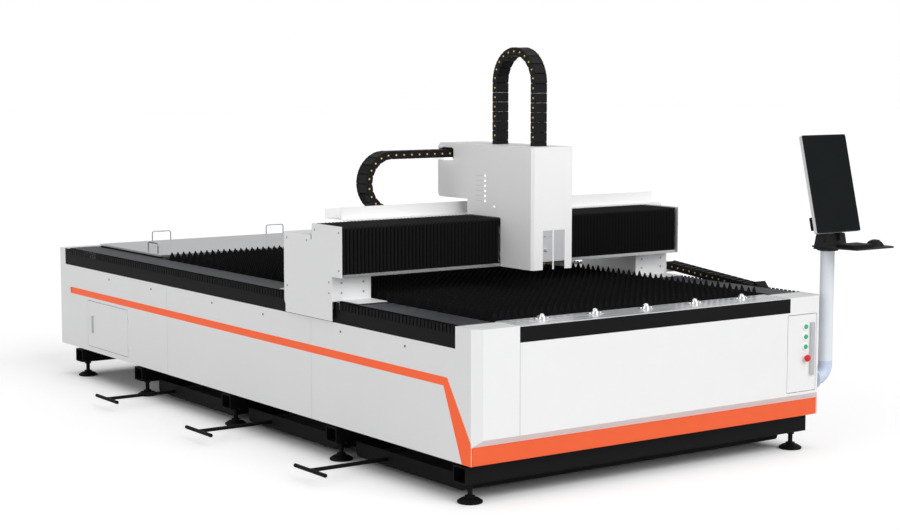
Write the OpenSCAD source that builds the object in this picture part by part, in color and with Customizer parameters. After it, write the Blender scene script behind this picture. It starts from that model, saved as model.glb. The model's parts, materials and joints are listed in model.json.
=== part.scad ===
// Flat-bed fiber laser cutting machine: welded bed, travelling gantry, covered cutting head, console.
// Millimetres. X is the width, Y the length with the loading end at -Y, Z up, origin on the floor
// under the middle of the bed.

/* [Bed] */
// Room between a slat's end and the side panel, for the rail beam
rail_room = 240; // [225:5:320]
// Length over the side panels
bed_l = 4600; // [4500:10:4800]
// Height of the bed's top edge above the floor
bed_top = 825; // [800:5:860]
// Height of the panels' lower edge above the floor
panel_bottom = 195; // [190:1:215]
// Thickness of the side and rear panels
panel_t = 4; // [3:0.5:6]
// Height of the black rail guards
guard_h = 103; // [90:1:120]
// Thickness of the rail guards
guard_t = 3; // [2:0.5:4]
// Spacing of the notches in the rail guards
notch_pitch = 30; // [24:1:60]
// Width of a guard notch
notch_w = 11; // [6:1:16]
// Depth of a guard notch
notch_h = 36; // [20:1:60]
// Length of the exhaust spigot behind the rear panel
spigot_len = 210; // [180:5:260]

/* [Front] */
// How far the front cover stands proud of the side panels' ends
front_proud = 40; // [25:1:60]
// Bevel on the upright edges of the front cover
front_bevel = 40; // [20:1:60]
// Height of the orange kick band
kick_h = 87; // [60:1:120]
// Height of the sloping lip above the kick band
lip_h = 36; // [20:1:60]
// Wall of the front cover
cover_wall = 4; // [3:0.5:6]
// Length of the black strip in the front cover
strip_w = 1736; // [1500:2:1800]
// Height of the black strip
strip_h = 77; // [50:1:100]
// Depth of the polished ledge behind the front cover
ledge_d = 150; // [120:5:180]
// Spacing of the ball transfer units
ball_pitch = 322; // [260:1:380]
// Diameter of a transfer ball
ball_d = 30; // [20:1:40]
// Width of the control door's opening
door_w = 209; // [180:1:240]

/* [Frame] */
// Width of the cross tubes along Y
tube_w = 100; // [80:5:120]
// Height of the cross tubes
tube_h = 80; // [60:5:90]
// Wall of the frame tubes
tube_wall = 6; // [4:1:8]
// Clear height under the cross tubes
tube_bottom = 97; // [90:1:105]
// Distance of the front row of feet from the middle of the bed
row_front = 2190; // [2150:5:2220]
// Spacing of the rows of feet
row_pitch = 1125; // [1080:5:1160]
// Distance of the rear row of feet from the middle of the bed
row_rear = 2065; // [2000:5:2150]
// Distance of the feet from the centre line
foot_x = 1040; // [1000:5:1060]
// Diameter of a foot pad
pad_d = 120; // [80:5:150]
// Height of the rail beams' machined top
rail_seat = 640; // [620:5:660]
// Width of a rail beam
rail_beam_w = 180; // [160:5:190]
// Height of a rail beam
rail_beam_h = 80; // [60:5:120]

/* [Slats] */
// Spacing of the cutting slats
slat_pitch = 90; // [60:5:120]
// Thickness of a slat
slat_t = 4; // [2:0.5:6]
// Spacing of the slat teeth
tooth_pitch = 40; // [30:1:60]
// Height of a slat tooth
tooth_h = 38; // [20:1:50]
// Height of a slat under its teeth
slat_body = 50; // [40:1:60]
// Length of the slats
slat_len = 1750; // [1700:5:1790]
// Rear end of the slat field
slat_rear = 1255; // [1200:5:1280]
// Clearance of a slat in its comb slot, each side
slat_clear = 0.3; // [0.2:0.05:0.6]

/* [Gantry] */
// Gantry beam front face in the drawn position
beam_front = -1180; // [-1300:5:-1100]
// Depth of the gantry beam
beam_d = 250; // [220:5:280]
// Height of the gantry beam's underside
beam_bottom = 985; // [975:1:1000]
// Height of the gantry beam
beam_h = 180; // [150:5:190]
// Depth of a bellows pleat
pleat_d = 15; // [8:1:18]
// Spacing of the bellows pleats
pleat_pitch = 22; // [16:1:40]
// Bellows wall at the bottom of a pleat
bellows_wall = 5; // [3:0.5:6]
// Thickness of the white cover sheets
sheet = 3; // [2:0.5:4]
// Running clearance between guides, bands and what passes them
run_clear = 0.5; // [0.3:0.1:1]

/* [Head] */
// Width of the head cover
head_w = 271; // [250:1:300]
// Middle of the head in the drawn position
head_x = -20; // [-200:5:200]
// Height of the head cover's top
head_top = 1588; // [1520:1:1650]
// Height of the head cover's lower edge
head_bottom = 955; // [945:1:965]
// How far the head cover stands in front of the bellows
head_reach = 276; // [255:1:320]

/* [Chains] */
// Thickness of the head's cable chains
chain_t = 42; // [36:1:50]
// Link spacing of the cable chains
link_pitch = 46; // [38:1:60]
// Width of the upright chain over the head
z_chain_w = 75; // [60:1:90]
// Bend radius of the upright chain, at its middle
z_chain_r = 166; // [140:1:180]
// Height of the upright chain's top
z_chain_top = 2100; // [2000:5:2150]
// Width of the chain behind the beam
x_chain_w = 95; // [70:1:100]
// Bend radius of the chain behind the beam
x_chain_r = 147; // [130:1:155]
// Width of the chain beside the bed
y_chain_w = 80; // [60:1:90]
// Bend radius of the chain beside the bed
y_chain_r = 75; // [65:1:85]

/* [Console] */
// Diameter of the console pole
pole_d = 74; // [60:1:90]
// Width of the monitor
monitor_w = 324; // [280:1:360]
// Height of the monitor
monitor_h = 515; // [480:1:600]
// Thickness of the monitor
monitor_t = 20; // [16:1:45]
// Backward lean of the monitor in degrees
monitor_lean = 14; // [5:1:20]
// Height of the keyboard tray's top
tray_top = 1072; // [1050:1:1100]
// How far the keyboard tray reaches in front of the pole
tray_reach = 240; // [220:5:290]
// Width of the keyboard
keyboard_w = 150; // [120:5:200]

/* [Drawers] */
// Spacing of the slag drawers' handles
handle_pitch = 1160; // [1130:1:1170]
// Diameter of the drawer pull rods
rod_d = 20; // [14:1:26]
// Length of a pull handle's cross bar
grip_len = 285; // [200:5:320]
// Height of the pull rods above the floor
rod_z = 64; // [55:1:75]
// How far the pull handles stand out from the side panel
handle_reach = 340; // [300:5:400]

/* [Hidden] */
$fn = 48;

white = "white";
black = [0.06, 0.06, 0.065];
orange = [0.95, 0.38, 0.2];
steel = [0.72, 0.73, 0.75];

// Bed levels and faces
side_x = slat_len / 2 + rail_room;
front_y = -bed_l / 2;
rear_y = bed_l / 2;
face_y = front_y - front_proud;
kick_top = panel_bottom + kick_h;
lip_top = kick_top + lip_h;
guard_bottom = bed_top - guard_h;
tube_top = tube_bottom + tube_h;
stripe_proud = 1.5;
weld_gap = 0.2;
ledge_w = 30;
ledge_t = 5;
rows = [-row_front, -row_front + row_pitch, -row_front + 2 * row_pitch, -row_front + 3 * row_pitch,
  row_rear];

// Rail section, measured from the centre line on either side
rail_beam_out = side_x - 30;
rail_beam_in = rail_beam_out - rail_beam_w;
rail_x = rail_beam_out - 85;
rail_w = 34;
rail_h = 29;
rack_in = rail_beam_in + 21;
rack_w = 22;
rack_top = rail_seat + 40;
band_t = 3;
band_in = rail_beam_in - 5;
band_out = side_x - 37;
band_front = front_y + 122;
band_rear = rear_y - 84;

// Drive teeth
tooth_module = 4;
gear_teeth = 20;
gear_r = tooth_module * gear_teeth / 2;
gear_pitch = PI * tooth_module;
backlash = 1.2;
shaft_d = 16;
shaft_clear = 0.3;

// Gantry
beam_back = beam_front + beam_d;
beam_top = beam_bottom + beam_h;
bellows_front = beam_front - 53;
bellows_back = beam_back - 5;
bellows_top = beam_top + 44;
track_h = 16;
track_top = beam_bottom - 14;
track_bottom = track_top - track_h;
bellows_bottom = track_top + 0.3;
beam_left = -side_x - 5;
beam_right = side_x - 35;
skirt_x = side_x + 22;
leg_in_left = skirt_x - 232;
leg_out_right = side_x - 18;
leg_in_right = leg_out_right - 232;
leg_front = beam_front + 38;
leg_rear = leg_front + 474;
leg_top = beam_top - 15;
leg_bottom = bed_top + 4;
saddle_front = leg_front + 12;
saddle_rear = leg_rear - 32;
saddle_bottom = rail_seat + 60;
saddle_t = 18;
neck_in = band_out + 6;
neck_t = 10;
base_z = bed_top + 25;
base_t = 16;

// Drives
mesh_clear = 0.3;
x_rack_y = 110;
x_rack_h = 22;
motor_y = saddle_rear + 62;
motor_z = rack_top + gear_r + mesh_clear;
pinion_y = beam_front + x_rack_y + x_rack_h + gear_r + mesh_clear;

// Head
head_left = head_x - head_w / 2;
head_right = head_x + head_w / 2;
head_front = bellows_front - head_reach;
plate_front = bellows_front - 17;
plate_t = 16;
window_left = head_x - 67;
window_bar_left = head_x - 3;
window_bar_right = head_x + 6;
window_right = head_x + 77;
window_h = 203;
window_top = head_bottom + window_h;
head_bevel = 14;

// Chain behind the beam
x_tray_gap = 80;
x_tray_d = 160;
x_tray_wall = 48;
x_tray_flange = 54;
x_tray_front = beam_back + x_tray_gap;
x_tray_rear = x_tray_front + x_tray_d;
x_tray_floor = beam_top + 46;
x_tray_left = -side_x + 215;
x_tray_right = side_x + 125;
x_chain_front = x_tray_front + 48;
x_chain_mid_z = x_tray_floor + 6 + chain_t / 2 + x_chain_r;
x_loop_back = 527;
x_fixed_ahead = 140;
x_loop_x = head_x - x_loop_back;
x_chain_fixed = head_x + x_fixed_ahead;
x_chain_end = head_x - 80;
tail_reach = 269;
tail_rise = 82;
tail_rear = beam_back + tail_reach;
tail_bottom = x_tray_floor + tail_rise;

// Cable-chain links
link_plate = 7;
link_bevel = 4;
link_bar_t = 6;
link_gap = 0.6;
wide_cut = 5;
narrow_cut = 26;

// Upright chain over the head
z_loop_y = head_front + 292;
z_loop_z = z_chain_top - z_chain_r - chain_t / 2;
z_chain_low = head_top - 130;

// Chain beside the bed
y_chain_in = side_x + 25;
y_tray_floor = rail_seat - 16;
y_low_z = y_tray_floor + 6 + chain_t / 2;
y_tray_start = front_y + 180;
y_loop_y = front_y + 520;
y_fixed = 100;
y_end = leg_front + 72;
arm_top = base_z - 8;
arm_t = 12;
y_end_z = arm_top + chain_t / 2 + 5;

// Slats
slat_front = front_y + 195;
slat_count = floor((slat_rear - slat_front) / slat_pitch) + 1;
slat_low = bed_top - slat_body;
comb_x = slat_len / 2 - 25;
comb_t = 6;

// Rear cover plates
plate_front_y = slat_rear + 45;
plate_rear_y = rear_y - 105;
plate_left = -slat_len / 2 - 7;
plate_right = leg_in_right - 7;
plate_top = bed_top + 17;
wire_span = 135;
wire_rise = 62;
wire_d = 8;
plate_h = 10;

// Console
pole_x = side_x + 90;
pole_y = front_y + 30;
hub_h = 62;
hub_head = 150;
hub_foot = 190;
hub_x = pole_x + 25;
screen_tilt_z = tray_top + hub_h + 22;
tilt_y = pole_y - 40;
tilt_pin_d = 12;
monitor_corner = 9;
tray_front = pole_y - tray_reach;
keyboard_left = pole_x - 48;
key_columns = 10;
key_rows = 5;
key_pitch = (keyboard_w - 9) / key_columns;
mouse_room = 148;
tray_right = keyboard_left + keyboard_w + mouse_room;
mouse_x = tray_right - 70;

// Drawer handles
handle_x = -side_x - handle_reach;

// Control door
door_out = side_x - front_bevel - 15;
door_in = door_out - door_w;
door_low = lip_top + 14;
door_high = bed_top - strip_h - 12;
door_gap = 3;
pivot_x = door_in + 12;
pivot_y = face_y + 10;
pivot_d = 8;
pivot_h = 10;
button_x = door_in + 127;
bar_low = door_low + 83;
bar_high = door_high - 46;
button_z = [670, 618, 566];
stop_z = 508;
button_d = 29;
stop_d = 36;
button_clear = 0.4;

// Side door
hatch_front = 1290;
hatch_rear = 1880;
hatch_low = panel_bottom + 30;
hatch_high = 520;
hatch_pull_z = 316;
hatch_hinge_z = [hatch_low + 40, hatch_high - 80];
knuckle_d = 10;
knuckle_h = 18;
hatch_axis_x = -side_x - knuckle_d / 2;

// Box between two corners
module block(a, b) {
  translate(a) cube(b - a);
}

// The children on the left as drawn and mirrored to the right
module both_sides() {
  children();
  mirror([1, 0, 0]) children();
}

// Outline in Y and Z extruded along X
module along_x(x0, x1) {
  translate([x0, 0, 0]) rotate([90, 0, 90]) linear_extrude(x1 - x0) children();
}

// Outline in X and Z extruded along Y
module along_y(y0, y1) {
  translate([0, y1, 0]) rotate([90, 0, 0]) linear_extrude(y1 - y0) children();
}

// Rectangular tube along X or Y
module tube_x(x0, x1, y, z0, w, h) {
  difference() {
    block([x0, y - w / 2, z0], [x1, y + w / 2, z0 + h]);
    block([x0 - 1, y - w / 2 + tube_wall, z0 + tube_wall],
      [x1 + 1, y + w / 2 - tube_wall, z0 + h - tube_wall]);
  }
}

// One cable-chain link along +X, middle at the origin, width along Y: two side plates joined by bars
// that are shorter than the plates by the cut
module chain_link(w, low_len, high_len, cut) {
  half = chain_t / 2;
  for (s = [-1, 1])
    translate([0, s * (w - link_plate) / 2 + link_plate / 2, 0])
      rotate([90, 0, 0])
        linear_extrude(link_plate)
          polygon([
            [-low_len / 2, link_bevel - half], [link_bevel - low_len / 2, -half],
            [low_len / 2 - link_bevel, -half], [low_len / 2, link_bevel - half],
            [high_len / 2, half - link_bevel], [high_len / 2 - link_bevel, half],
            [link_bevel - high_len / 2, half], [-high_len / 2, half - link_bevel]
          ]);
  for (s = [-1, 1]) {
    bar = (s < 0 ? low_len : high_len) - cut;
    translate([-bar / 2, -w / 2 + link_plate, s * (half - link_bevel) - link_bar_t / 2])
      cube([bar, w - 2 * link_plate, link_bar_t]);
  }
}

// Links in a row from p to q in the XZ plane
module link_run(p, q, w, cut) {
  span = norm(q - p);
  count = max(1, floor(span / link_pitch));
  angle = atan2(q[1] - p[1], q[0] - p[0]);
  length = span / count - link_gap;
  for (i = [0 : count - 1])
    translate([p[0], 0, p[1]])
      rotate([0, -angle, 0])
        translate([(i + 0.5) * span / count, 0, 0])
          chain_link(w, length, length, cut);
}

// Links round an arc in the XZ plane, mitred where they meet
module link_arc(centre, r, from, to, w, cut) {
  turn = abs(to - from);
  count = floor(r * turn * PI / 180 / link_pitch);
  step = (to - from) / count;
  mitre = 2 * tan(turn / count / 2);
  reach = chain_t / 2 - link_bevel;
  for (i = [0 : count - 1])
    translate([centre[0], 0, centre[1]])
      rotate([0, -(from + (i + 0.5) * step), 0])
        translate([r, 0, 0])
          rotate([0, 90, 0])
            chain_link(w, (r - reach) * mitre - link_gap, (r + reach) * mitre - link_gap, cut);
}

// Straight rack teeth along +X with their tips up
module rack_profile(length, height) {
  count = floor(length / gear_pitch);
  half = gear_pitch / 4 - backlash / 2;
  slope = tooth_module * 0.364;
  polygon(concat(
    [[0, 0], [0, height - 1.25 * tooth_module]],
    [for (i = [0 : count - 1], k = [0 : 3])
      let (mid = (i + 0.5) * gear_pitch)
      k == 0 ? [mid - half - slope, height - 1.25 * tooth_module]
      : k == 1 ? [mid - half + slope, height + tooth_module]
      : k == 2 ? [mid + half - slope, height + tooth_module]
      : [mid + half + slope, height - 1.25 * tooth_module]],
    [[length, height - 1.25 * tooth_module], [length, 0]]
  ));
}

// Straight-flanked drive gear outline
module gear_profile(phase) {
  half = (360 / gear_teeth) / 4 - backlash / 2 / gear_r * 180 / PI;
  lean = tooth_module * 0.364 / gear_r * 180 / PI;
  polygon([for (i = [0 : gear_teeth - 1], k = [0 : 3])
    let (mid = phase + i * 360 / gear_teeth)
    let (a = k == 0 ? mid - half - lean : k == 1 ? mid - half + lean : k == 2 ? mid + half - lean : mid +
      half + lean)
    let (r = k == 1 || k == 2 ? gear_r + 0.8 * tooth_module : gear_r - 1.25 * tooth_module)
    [r * cos(a), r * sin(a)]]);
}

module base_frame() {
  color(black) {
    for (y = rows) {
      tube_x(-side_x + 15, side_x - 15, y, tube_bottom, tube_w, tube_h);
      tube_x(weld_gap - rail_beam_in, rail_beam_in - weld_gap, y, rail_seat - rail_beam_h, tube_w,
        rail_beam_h);
      both_sides() {
        block([-rail_x - 40, y - 40, tube_top + weld_gap],
          [-rail_x + 40, y + 40, rail_seat - rail_beam_h - weld_gap]);
        block([-side_x + panel_t, y - 30, rail_seat - 70],
          [-rail_beam_out - weld_gap, y + 30, rail_seat - 10]);
      }
    }
    both_sides() difference() {
      block([-rail_beam_out, front_y + 60, rail_seat - rail_beam_h],
        [-rail_beam_in, rear_y - 40, rail_seat]);
      block([-rail_beam_out + 8, front_y + 59, rail_seat - rail_beam_h + 8],
        [-rail_beam_in - 8, rear_y - 39, rail_seat - 8]);
    }
    runner_ledges();
  }
}

// Flat ledges on the cross tubes that carry the slag drawers
module runner_ledges() {
  half = side_x - 60;
  near = tube_w / 2 + weld_gap;
  for (i = [0 : 2]) {
    block([-half, rows[i] + near, tube_bottom], [half, rows[i] + near + ledge_w, tube_bottom + ledge_t]);
    block([-half, rows[i + 1] - near - ledge_w, tube_bottom],
      [half, rows[i + 1] - near, tube_bottom + ledge_t]);
  }
}

module levelling_feet() {
  color(black)
    for (y = rows, s = [-1, 1])
      translate([s * foot_x, y, 0])
        rotate_extrude()
          polygon([
            [0, 0], [pad_d / 2 - 3, 0], [pad_d / 2, 3], [pad_d / 2, 10], [pad_d / 2 - 18, 22], [24, 26],
            [24, 34], [12, 34], [12, tube_bottom - 18], [20, tube_bottom - 18], [20, tube_bottom],
              [0, tube_bottom]
          ]);
}

// Orange stripe outline on a side, in Y and Z
module stripe_outline() {
  polygon([
    [rear_y - 160, 540], [rear_y - 160, 580], [front_y + 187, 580], [front_y, 300],
    [front_y, panel_bottom], [front_y + 68, panel_bottom], [front_y + 215, 540]
  ]);
}

module side_sheet() {
  difference() {
    along_x(-side_x, -side_x + panel_t)
      polygon([[front_y, panel_bottom], [rear_y, panel_bottom], [rear_y, bed_top], [rear_y - 84, bed_top],
        [rear_y - 84, guard_bottom], [front_y + 122, guard_bottom], [front_y + 122, bed_top],
          [front_y, bed_top]]);
    along_x(-side_x - 1, -side_x + panel_t / 2) stripe_outline();
  }
}

module side_panel_left() {
  color(white)
    difference() {
      side_sheet();
      block([-side_x - 1, hatch_front, hatch_low], [-side_x + panel_t + 1, hatch_rear, hatch_high]);
    }
  color(white)
    for (z = hatch_hinge_z) {
      translate([hatch_axis_x, hatch_front, z]) cylinder(d = knuckle_d, h = knuckle_h);
      translate([hatch_axis_x, hatch_front, z]) cylinder(d = knuckle_d / 2, h = 2 * knuckle_h);
      block([hatch_axis_x, hatch_front - 16, z], [-side_x, hatch_front, z + knuckle_h]);
    }
}

module side_panel_right() {
  color(white) mirror([1, 0, 0]) side_sheet();
}

module side_stripes() {
  color(orange)
    both_sides()
      along_x(-side_x - stripe_proud, -side_x + panel_t / 2) stripe_outline();
}

module front_cover() {
  color(white)
    difference() {
      intersection() {
        along_x(-side_x, side_x)
          polygon([[face_y, lip_top], [front_y, kick_top], [band_front, kick_top], [band_front, bed_top],
            [face_y, bed_top]]);
        linear_extrude(bed_top)
          polygon([[-side_x, front_y], [-side_x + front_bevel, face_y], [side_x - front_bevel, face_y],
            [side_x, front_y],
            [side_x - panel_t, front_y], [side_x - panel_t, band_front], [-side_x + panel_t, band_front],
              [-side_x + panel_t, front_y]]);
      }
      intersection() {
        along_x(-side_x, side_x)
          polygon([[face_y + cover_wall, lip_top + 2], [front_y + cover_wall, kick_top - 1],
            [band_front + 1, kick_top - 1],
            [band_front + 1, bed_top - cover_wall], [face_y + cover_wall, bed_top - cover_wall]]);
        linear_extrude(bed_top)
          polygon([[-side_x + panel_t + 3, front_y], [-side_x + front_bevel + 2, face_y + cover_wall],
            [side_x - front_bevel - 2, face_y + cover_wall], [side_x - panel_t - 3, front_y],
            [side_x - panel_t - 3, band_front + 1], [-side_x + panel_t + 3, band_front + 1]]);
      }
      block([-strip_w / 2, face_y - 1, bed_top - strip_h], [strip_w / 2, front_y + ledge_d, bed_top + 1]);
      block([door_in, face_y - 1, door_low], [door_out, front_y, door_high]);
      block([-side_x, front_y + 30, kick_top - 1], [side_x, band_front + 1, bed_top - cover_wall]);
    }
  color(white)
    for (z = [door_low - pivot_h, door_high])
      difference() {
        block([door_in + 2, face_y + cover_wall, z], [door_in + 24, face_y + 20, z + pivot_h]);
        translate([pivot_x, pivot_y, z - 1]) cylinder(d = pivot_d + 2 * shaft_clear, h = pivot_h + 2);
      }
}

module kick_band() {
  color(orange)
    difference() {
      linear_extrude(kick_top)
        polygon([[-side_x + panel_t, front_y + 60], [-side_x + panel_t, front_y + 6],
          [-side_x + 10, front_y],
          [side_x - 10, front_y], [side_x - panel_t, front_y + 6], [side_x - panel_t, front_y + 60]]);
      block([-side_x, front_y - 1, -1], [side_x, front_y + 61, panel_bottom]);
      block([-side_x + panel_t + 4, front_y + 4, panel_bottom - 1],
        [side_x - panel_t - 4, front_y + 61, kick_top + 1]);
    }
}

module front_strip() {
  color(black)
    difference() {
      block([-strip_w / 2, face_y, bed_top - strip_h], [strip_w / 2, front_y, bed_top - 4]);
      block([-strip_w / 2 + 4, face_y + 4, bed_top - strip_h + 4],
        [strip_w / 2 - 4, front_y + 1, bed_top - 8]);
    }
}

module front_ledge() {
  color(steel)
    difference() {
      block([-strip_w / 2, face_y, bed_top - 4], [strip_w / 2, front_y + ledge_d, bed_top]);
      for (i = [-2 : 2])
        translate([i * ball_pitch, front_y + 85, bed_top - 9]) cylinder(d = ball_d + 2, h = 12);
    }
  color(steel)
    both_sides() block([-strip_w / 2, front_y + ledge_d - 20, rail_seat],
      [-strip_w / 2 + 20, front_y + ledge_d, bed_top - 4]);
}

module ball_cups() {
  color(steel)
    for (i = [-2 : 2])
      translate([i * ball_pitch, front_y + 85, bed_top])
        difference() {
          union() {
            cylinder(d = ball_d + 16, h = 14);
            translate([-42, -14, 0]) cube([84, 28, 4]);
            for (s = [-1, 1]) translate([s * 33, 0, 4]) cylinder(d = 11, h = 6);
          }
          translate([0, 0, 12]) sphere(d = ball_d + 2 * 0.4);
          translate([0, 0, -1]) cylinder(d = ball_d - 8, h = 10);
        }
}

module transfer_ball(i) {
  color(steel)
    translate([(i - 3) * ball_pitch, front_y + 85, bed_top + 12]) sphere(d = ball_d);
}

module rear_panel() {
  spigot_d = 200;
  spigot_z = 470;
  color(white) {
    difference() {
      block([-side_x + panel_t, rear_y - panel_t, panel_bottom], [side_x - panel_t, rear_y, bed_top]);
      translate([0, rear_y + 1, spigot_z]) rotate([90, 0, 0]) cylinder(d = spigot_d - 4, h = panel_t + 2);
    }
    translate([0, rear_y, spigot_z])
      rotate([-90, 0, 0])
        rotate_extrude()
          polygon([
            [spigot_d / 2 - 2, 0], [spigot_d / 2 + 30, 0], [spigot_d / 2 + 30, 3], [spigot_d / 2, 3],
            [spigot_d / 2, spigot_len], [spigot_d / 2 - 2, spigot_len]
          ]);
    block([-side_x + panel_t, band_rear, bed_top - 4], [side_x - panel_t, rear_y - panel_t, bed_top]);
  }
}

module y_rails() {
  color(steel)
    both_sides() {
      along_y(band_front + 20, band_rear - 20)
        translate([-rail_x, rail_seat])
          polygon([[-rail_w / 2, 0], [rail_w / 2, 0], [rail_w / 2, 10], [rail_w / 2 - 5, 14],
            [rail_w / 2 - 5, 19],
            [rail_w / 2, 23], [rail_w / 2, rail_h], [-rail_w / 2, rail_h], [-rail_w / 2, 23],
              [-rail_w / 2 + 5, 19],
            [-rail_w / 2 + 5, 14], [-rail_w / 2, 10]]);
      translate([-rack_in - rack_w, band_front + 20, rail_seat])
        rotate([90, 0, 90])
          linear_extrude(rack_w)
            rack_profile(band_rear - band_front - 40, rack_top - rail_seat);
    }
}

// Comb outline in Y and Z: a plate with open notches along its upper edge
module comb_outline(y0, y1, z0, z1, pitch, gap, depth) {
  count = floor((y1 - y0 - gap - 4) / pitch) + 1;
  polygon(concat(
    [[y0, z0], [y0, z1]],
    [for (i = [0 : count - 1], k = [0 : 3])
      [y0 + 4 + i * pitch + (k < 2 ? 0 : gap), k == 0 || k == 3 ? z1 : z1 - depth]],
    [[y1, z1], [y1, z0]]
  ));
}

module rail_guards() {
  color(black)
    both_sides()
      along_x(-side_x, -side_x + guard_t)
        comb_outline(band_front, band_rear, guard_bottom, bed_top, notch_pitch, notch_w, notch_h);
}

module cover_bands() {
  color(steel)
    both_sides()
      along_y(band_front, band_rear)
        polygon([[-band_out, bed_top - band_t], [-band_out, bed_top], [-band_in, bed_top],
          [-band_in, rail_seat],
          [-band_in - 22, rail_seat], [-band_in - 22, rail_seat + band_t],
            [-band_in - band_t, rail_seat + band_t],
          [-band_in - band_t, bed_top - band_t]]);
}

module slat_frame() {
  color(black) {
    both_sides()
      along_x(-comb_x - comb_t / 2, -comb_x + comb_t / 2)
        comb_outline(slat_front - 4 - slat_t / 2 - slat_clear, slat_rear + 20, rail_seat, slat_low + 30,
          slat_pitch, slat_t + 2 * slat_clear, 30);
    for (x = [plate_left + 13, 0, plate_right - 13])
      block([x - comb_t / 2, plate_front_y, rail_seat],
        [x + comb_t / 2, plate_rear_y, plate_top - plate_h]);
  }
}

// One slat: a plate with saw teeth along its upper edge
module slat_profile() {
  count = floor(slat_len / tooth_pitch);
  start = -count * tooth_pitch / 2;
  polygon(concat(
    [[-slat_len / 2, 0], [-slat_len / 2, slat_body]],
    [for (i = [0 : count - 1], k = [0 : 2])
      [start + (i + [0.06, 0.44, 0.56][k]) * tooth_pitch, slat_body + (k == 0 ? 0 : tooth_h)]],
    [[start + count * tooth_pitch - 0.06 * tooth_pitch, slat_body], [slat_len / 2, slat_body],
      [slat_len / 2, 0]]
  ));
}

module slats() {
  color(black)
    for (i = [0 : slat_count - 1])
      translate([0, 0, slat_low])
        along_y(slat_front + i * slat_pitch - slat_t / 2, slat_front + i * slat_pitch + slat_t / 2)
          slat_profile();
}

module rear_covers() {
  color(steel)
    for (x = [[plate_left, -1], [1, plate_right]])
      difference() {
        block([x[0], plate_front_y, plate_top - plate_h], [x[1], plate_rear_y, plate_top]);
        block([x[0] + sheet, plate_front_y + sheet, plate_top - plate_h - 1],
          [x[1] - sheet, plate_rear_y - sheet, plate_top - sheet]);
      }
}

// Bent wire handle along X, standing on z = 0
module wire_handle(span, height, d) {
  bend = 14;
  for (s = [0, 1])
    mirror([s, 0, 0]) {
      translate([span / 2, 0, 0]) cylinder(d = d, h = height - bend);
      translate([span / 2 - bend, 0, height - bend])
        rotate([90, 0, 0])
          rotate_extrude(angle = 90)
            translate([bend, 0]) circle(d = d);
    }
  translate([-span / 2 + bend, 0, height]) rotate([0, 90, 0]) cylinder(d = d, h = span - 2 * bend);
}

module plate_handles() {
  color(steel) {
    for (x = [plate_left / 2, plate_right / 2])
      translate([x, plate_rear_y - 15, plate_top]) wire_handle(wire_span, wire_rise, wire_d);
    for (x = [plate_left + 32, plate_right - 32])
      translate([x, plate_front_y + 165, plate_top]) rotate([0, 0, 90])
        wire_handle(wire_span, wire_rise, wire_d);
  }
}

module y_chain_tray() {
  color(black)
    along_y(y_tray_start, y_fixed + 60)
      polygon([[side_x, y_tray_floor - 4], [y_chain_in + y_chain_w + 14, y_tray_floor - 4],
        [y_chain_in + y_chain_w + 14, y_tray_floor + 50], [y_chain_in + y_chain_w + 11, y_tray_floor + 50],
        [y_chain_in + y_chain_w + 11, y_tray_floor], [side_x + 3, y_tray_floor],
          [side_x + 3, y_tray_floor + 60],
        [side_x, y_tray_floor + 60]]);
}

module y_chain() {
  loop = [y_loop_y, y_low_z + y_chain_r];
  last = [y_end, y_end_z];
  slope = atan2(last[1] - loop[1], last[0] - loop[0]) - asin(y_chain_r / norm(last - loop));
  start = loop + y_chain_r * [-sin(slope), cos(slope)];
  color(black)
    translate([y_chain_in + y_chain_w / 2, 0, 0])
      rotate([0, 0, 90]) {
        link_run(start, last, y_chain_w, narrow_cut);
        link_arc(loop, y_chain_r, 90 + slope, 270, y_chain_w, narrow_cut);
        link_run([y_loop_y, y_low_z], [y_fixed, y_low_z], y_chain_w, narrow_cut);
        translate([y_fixed - 46, -y_chain_w / 2 + 8, y_tray_floor])
          cube([46, y_chain_w - 16, y_low_z - chain_t / 2 - y_tray_floor + 4]);
      }
}

module console_post() {
  bend = 75;
  elbow_z = 450;
  color([0.8, 0.83, 0.88]) {
    translate([pole_x, pole_y, elbow_z]) cylinder(d = pole_d, h = tray_top - 26 - elbow_z);
    translate([pole_x - bend, pole_y, elbow_z])
      rotate([90, 0, 0])
        rotate_extrude(angle = -90)
          translate([bend, 0]) circle(d = pole_d);
    translate([side_x + stripe_proud, pole_y, elbow_z - bend]) rotate([0, 90, 0])
      cylinder(d = pole_d, h = pole_x - bend - side_x - stripe_proud);
    translate([side_x + stripe_proud, pole_y, elbow_z - bend]) rotate([0, 90, 0])
      cylinder(d = pole_d + 30, h = 8);
  }
}

module side_door() {
  color(white) {
    block([-side_x, hatch_front + door_gap, hatch_low + door_gap],
      [-side_x + panel_t, hatch_rear - door_gap, hatch_high - door_gap]);
    block([-side_x - 12, hatch_rear - 78, hatch_pull_z], [-side_x, hatch_rear - 68, hatch_pull_z + 110]);
    for (z = hatch_hinge_z)
      difference() {
        union() {
          translate([hatch_axis_x, hatch_front, z + knuckle_h + 0.3])
            cylinder(d = knuckle_d, h = knuckle_h);
          block([hatch_axis_x, hatch_front, z + knuckle_h + 0.3],
            [-side_x, hatch_front + 16, z + 2 * knuckle_h + 0.3]);
        }
        translate([hatch_axis_x, hatch_front, z])
          cylinder(d = knuckle_d / 2 + 2 * shaft_clear, h = 3 * knuckle_h);
      }
  }
}

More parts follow.
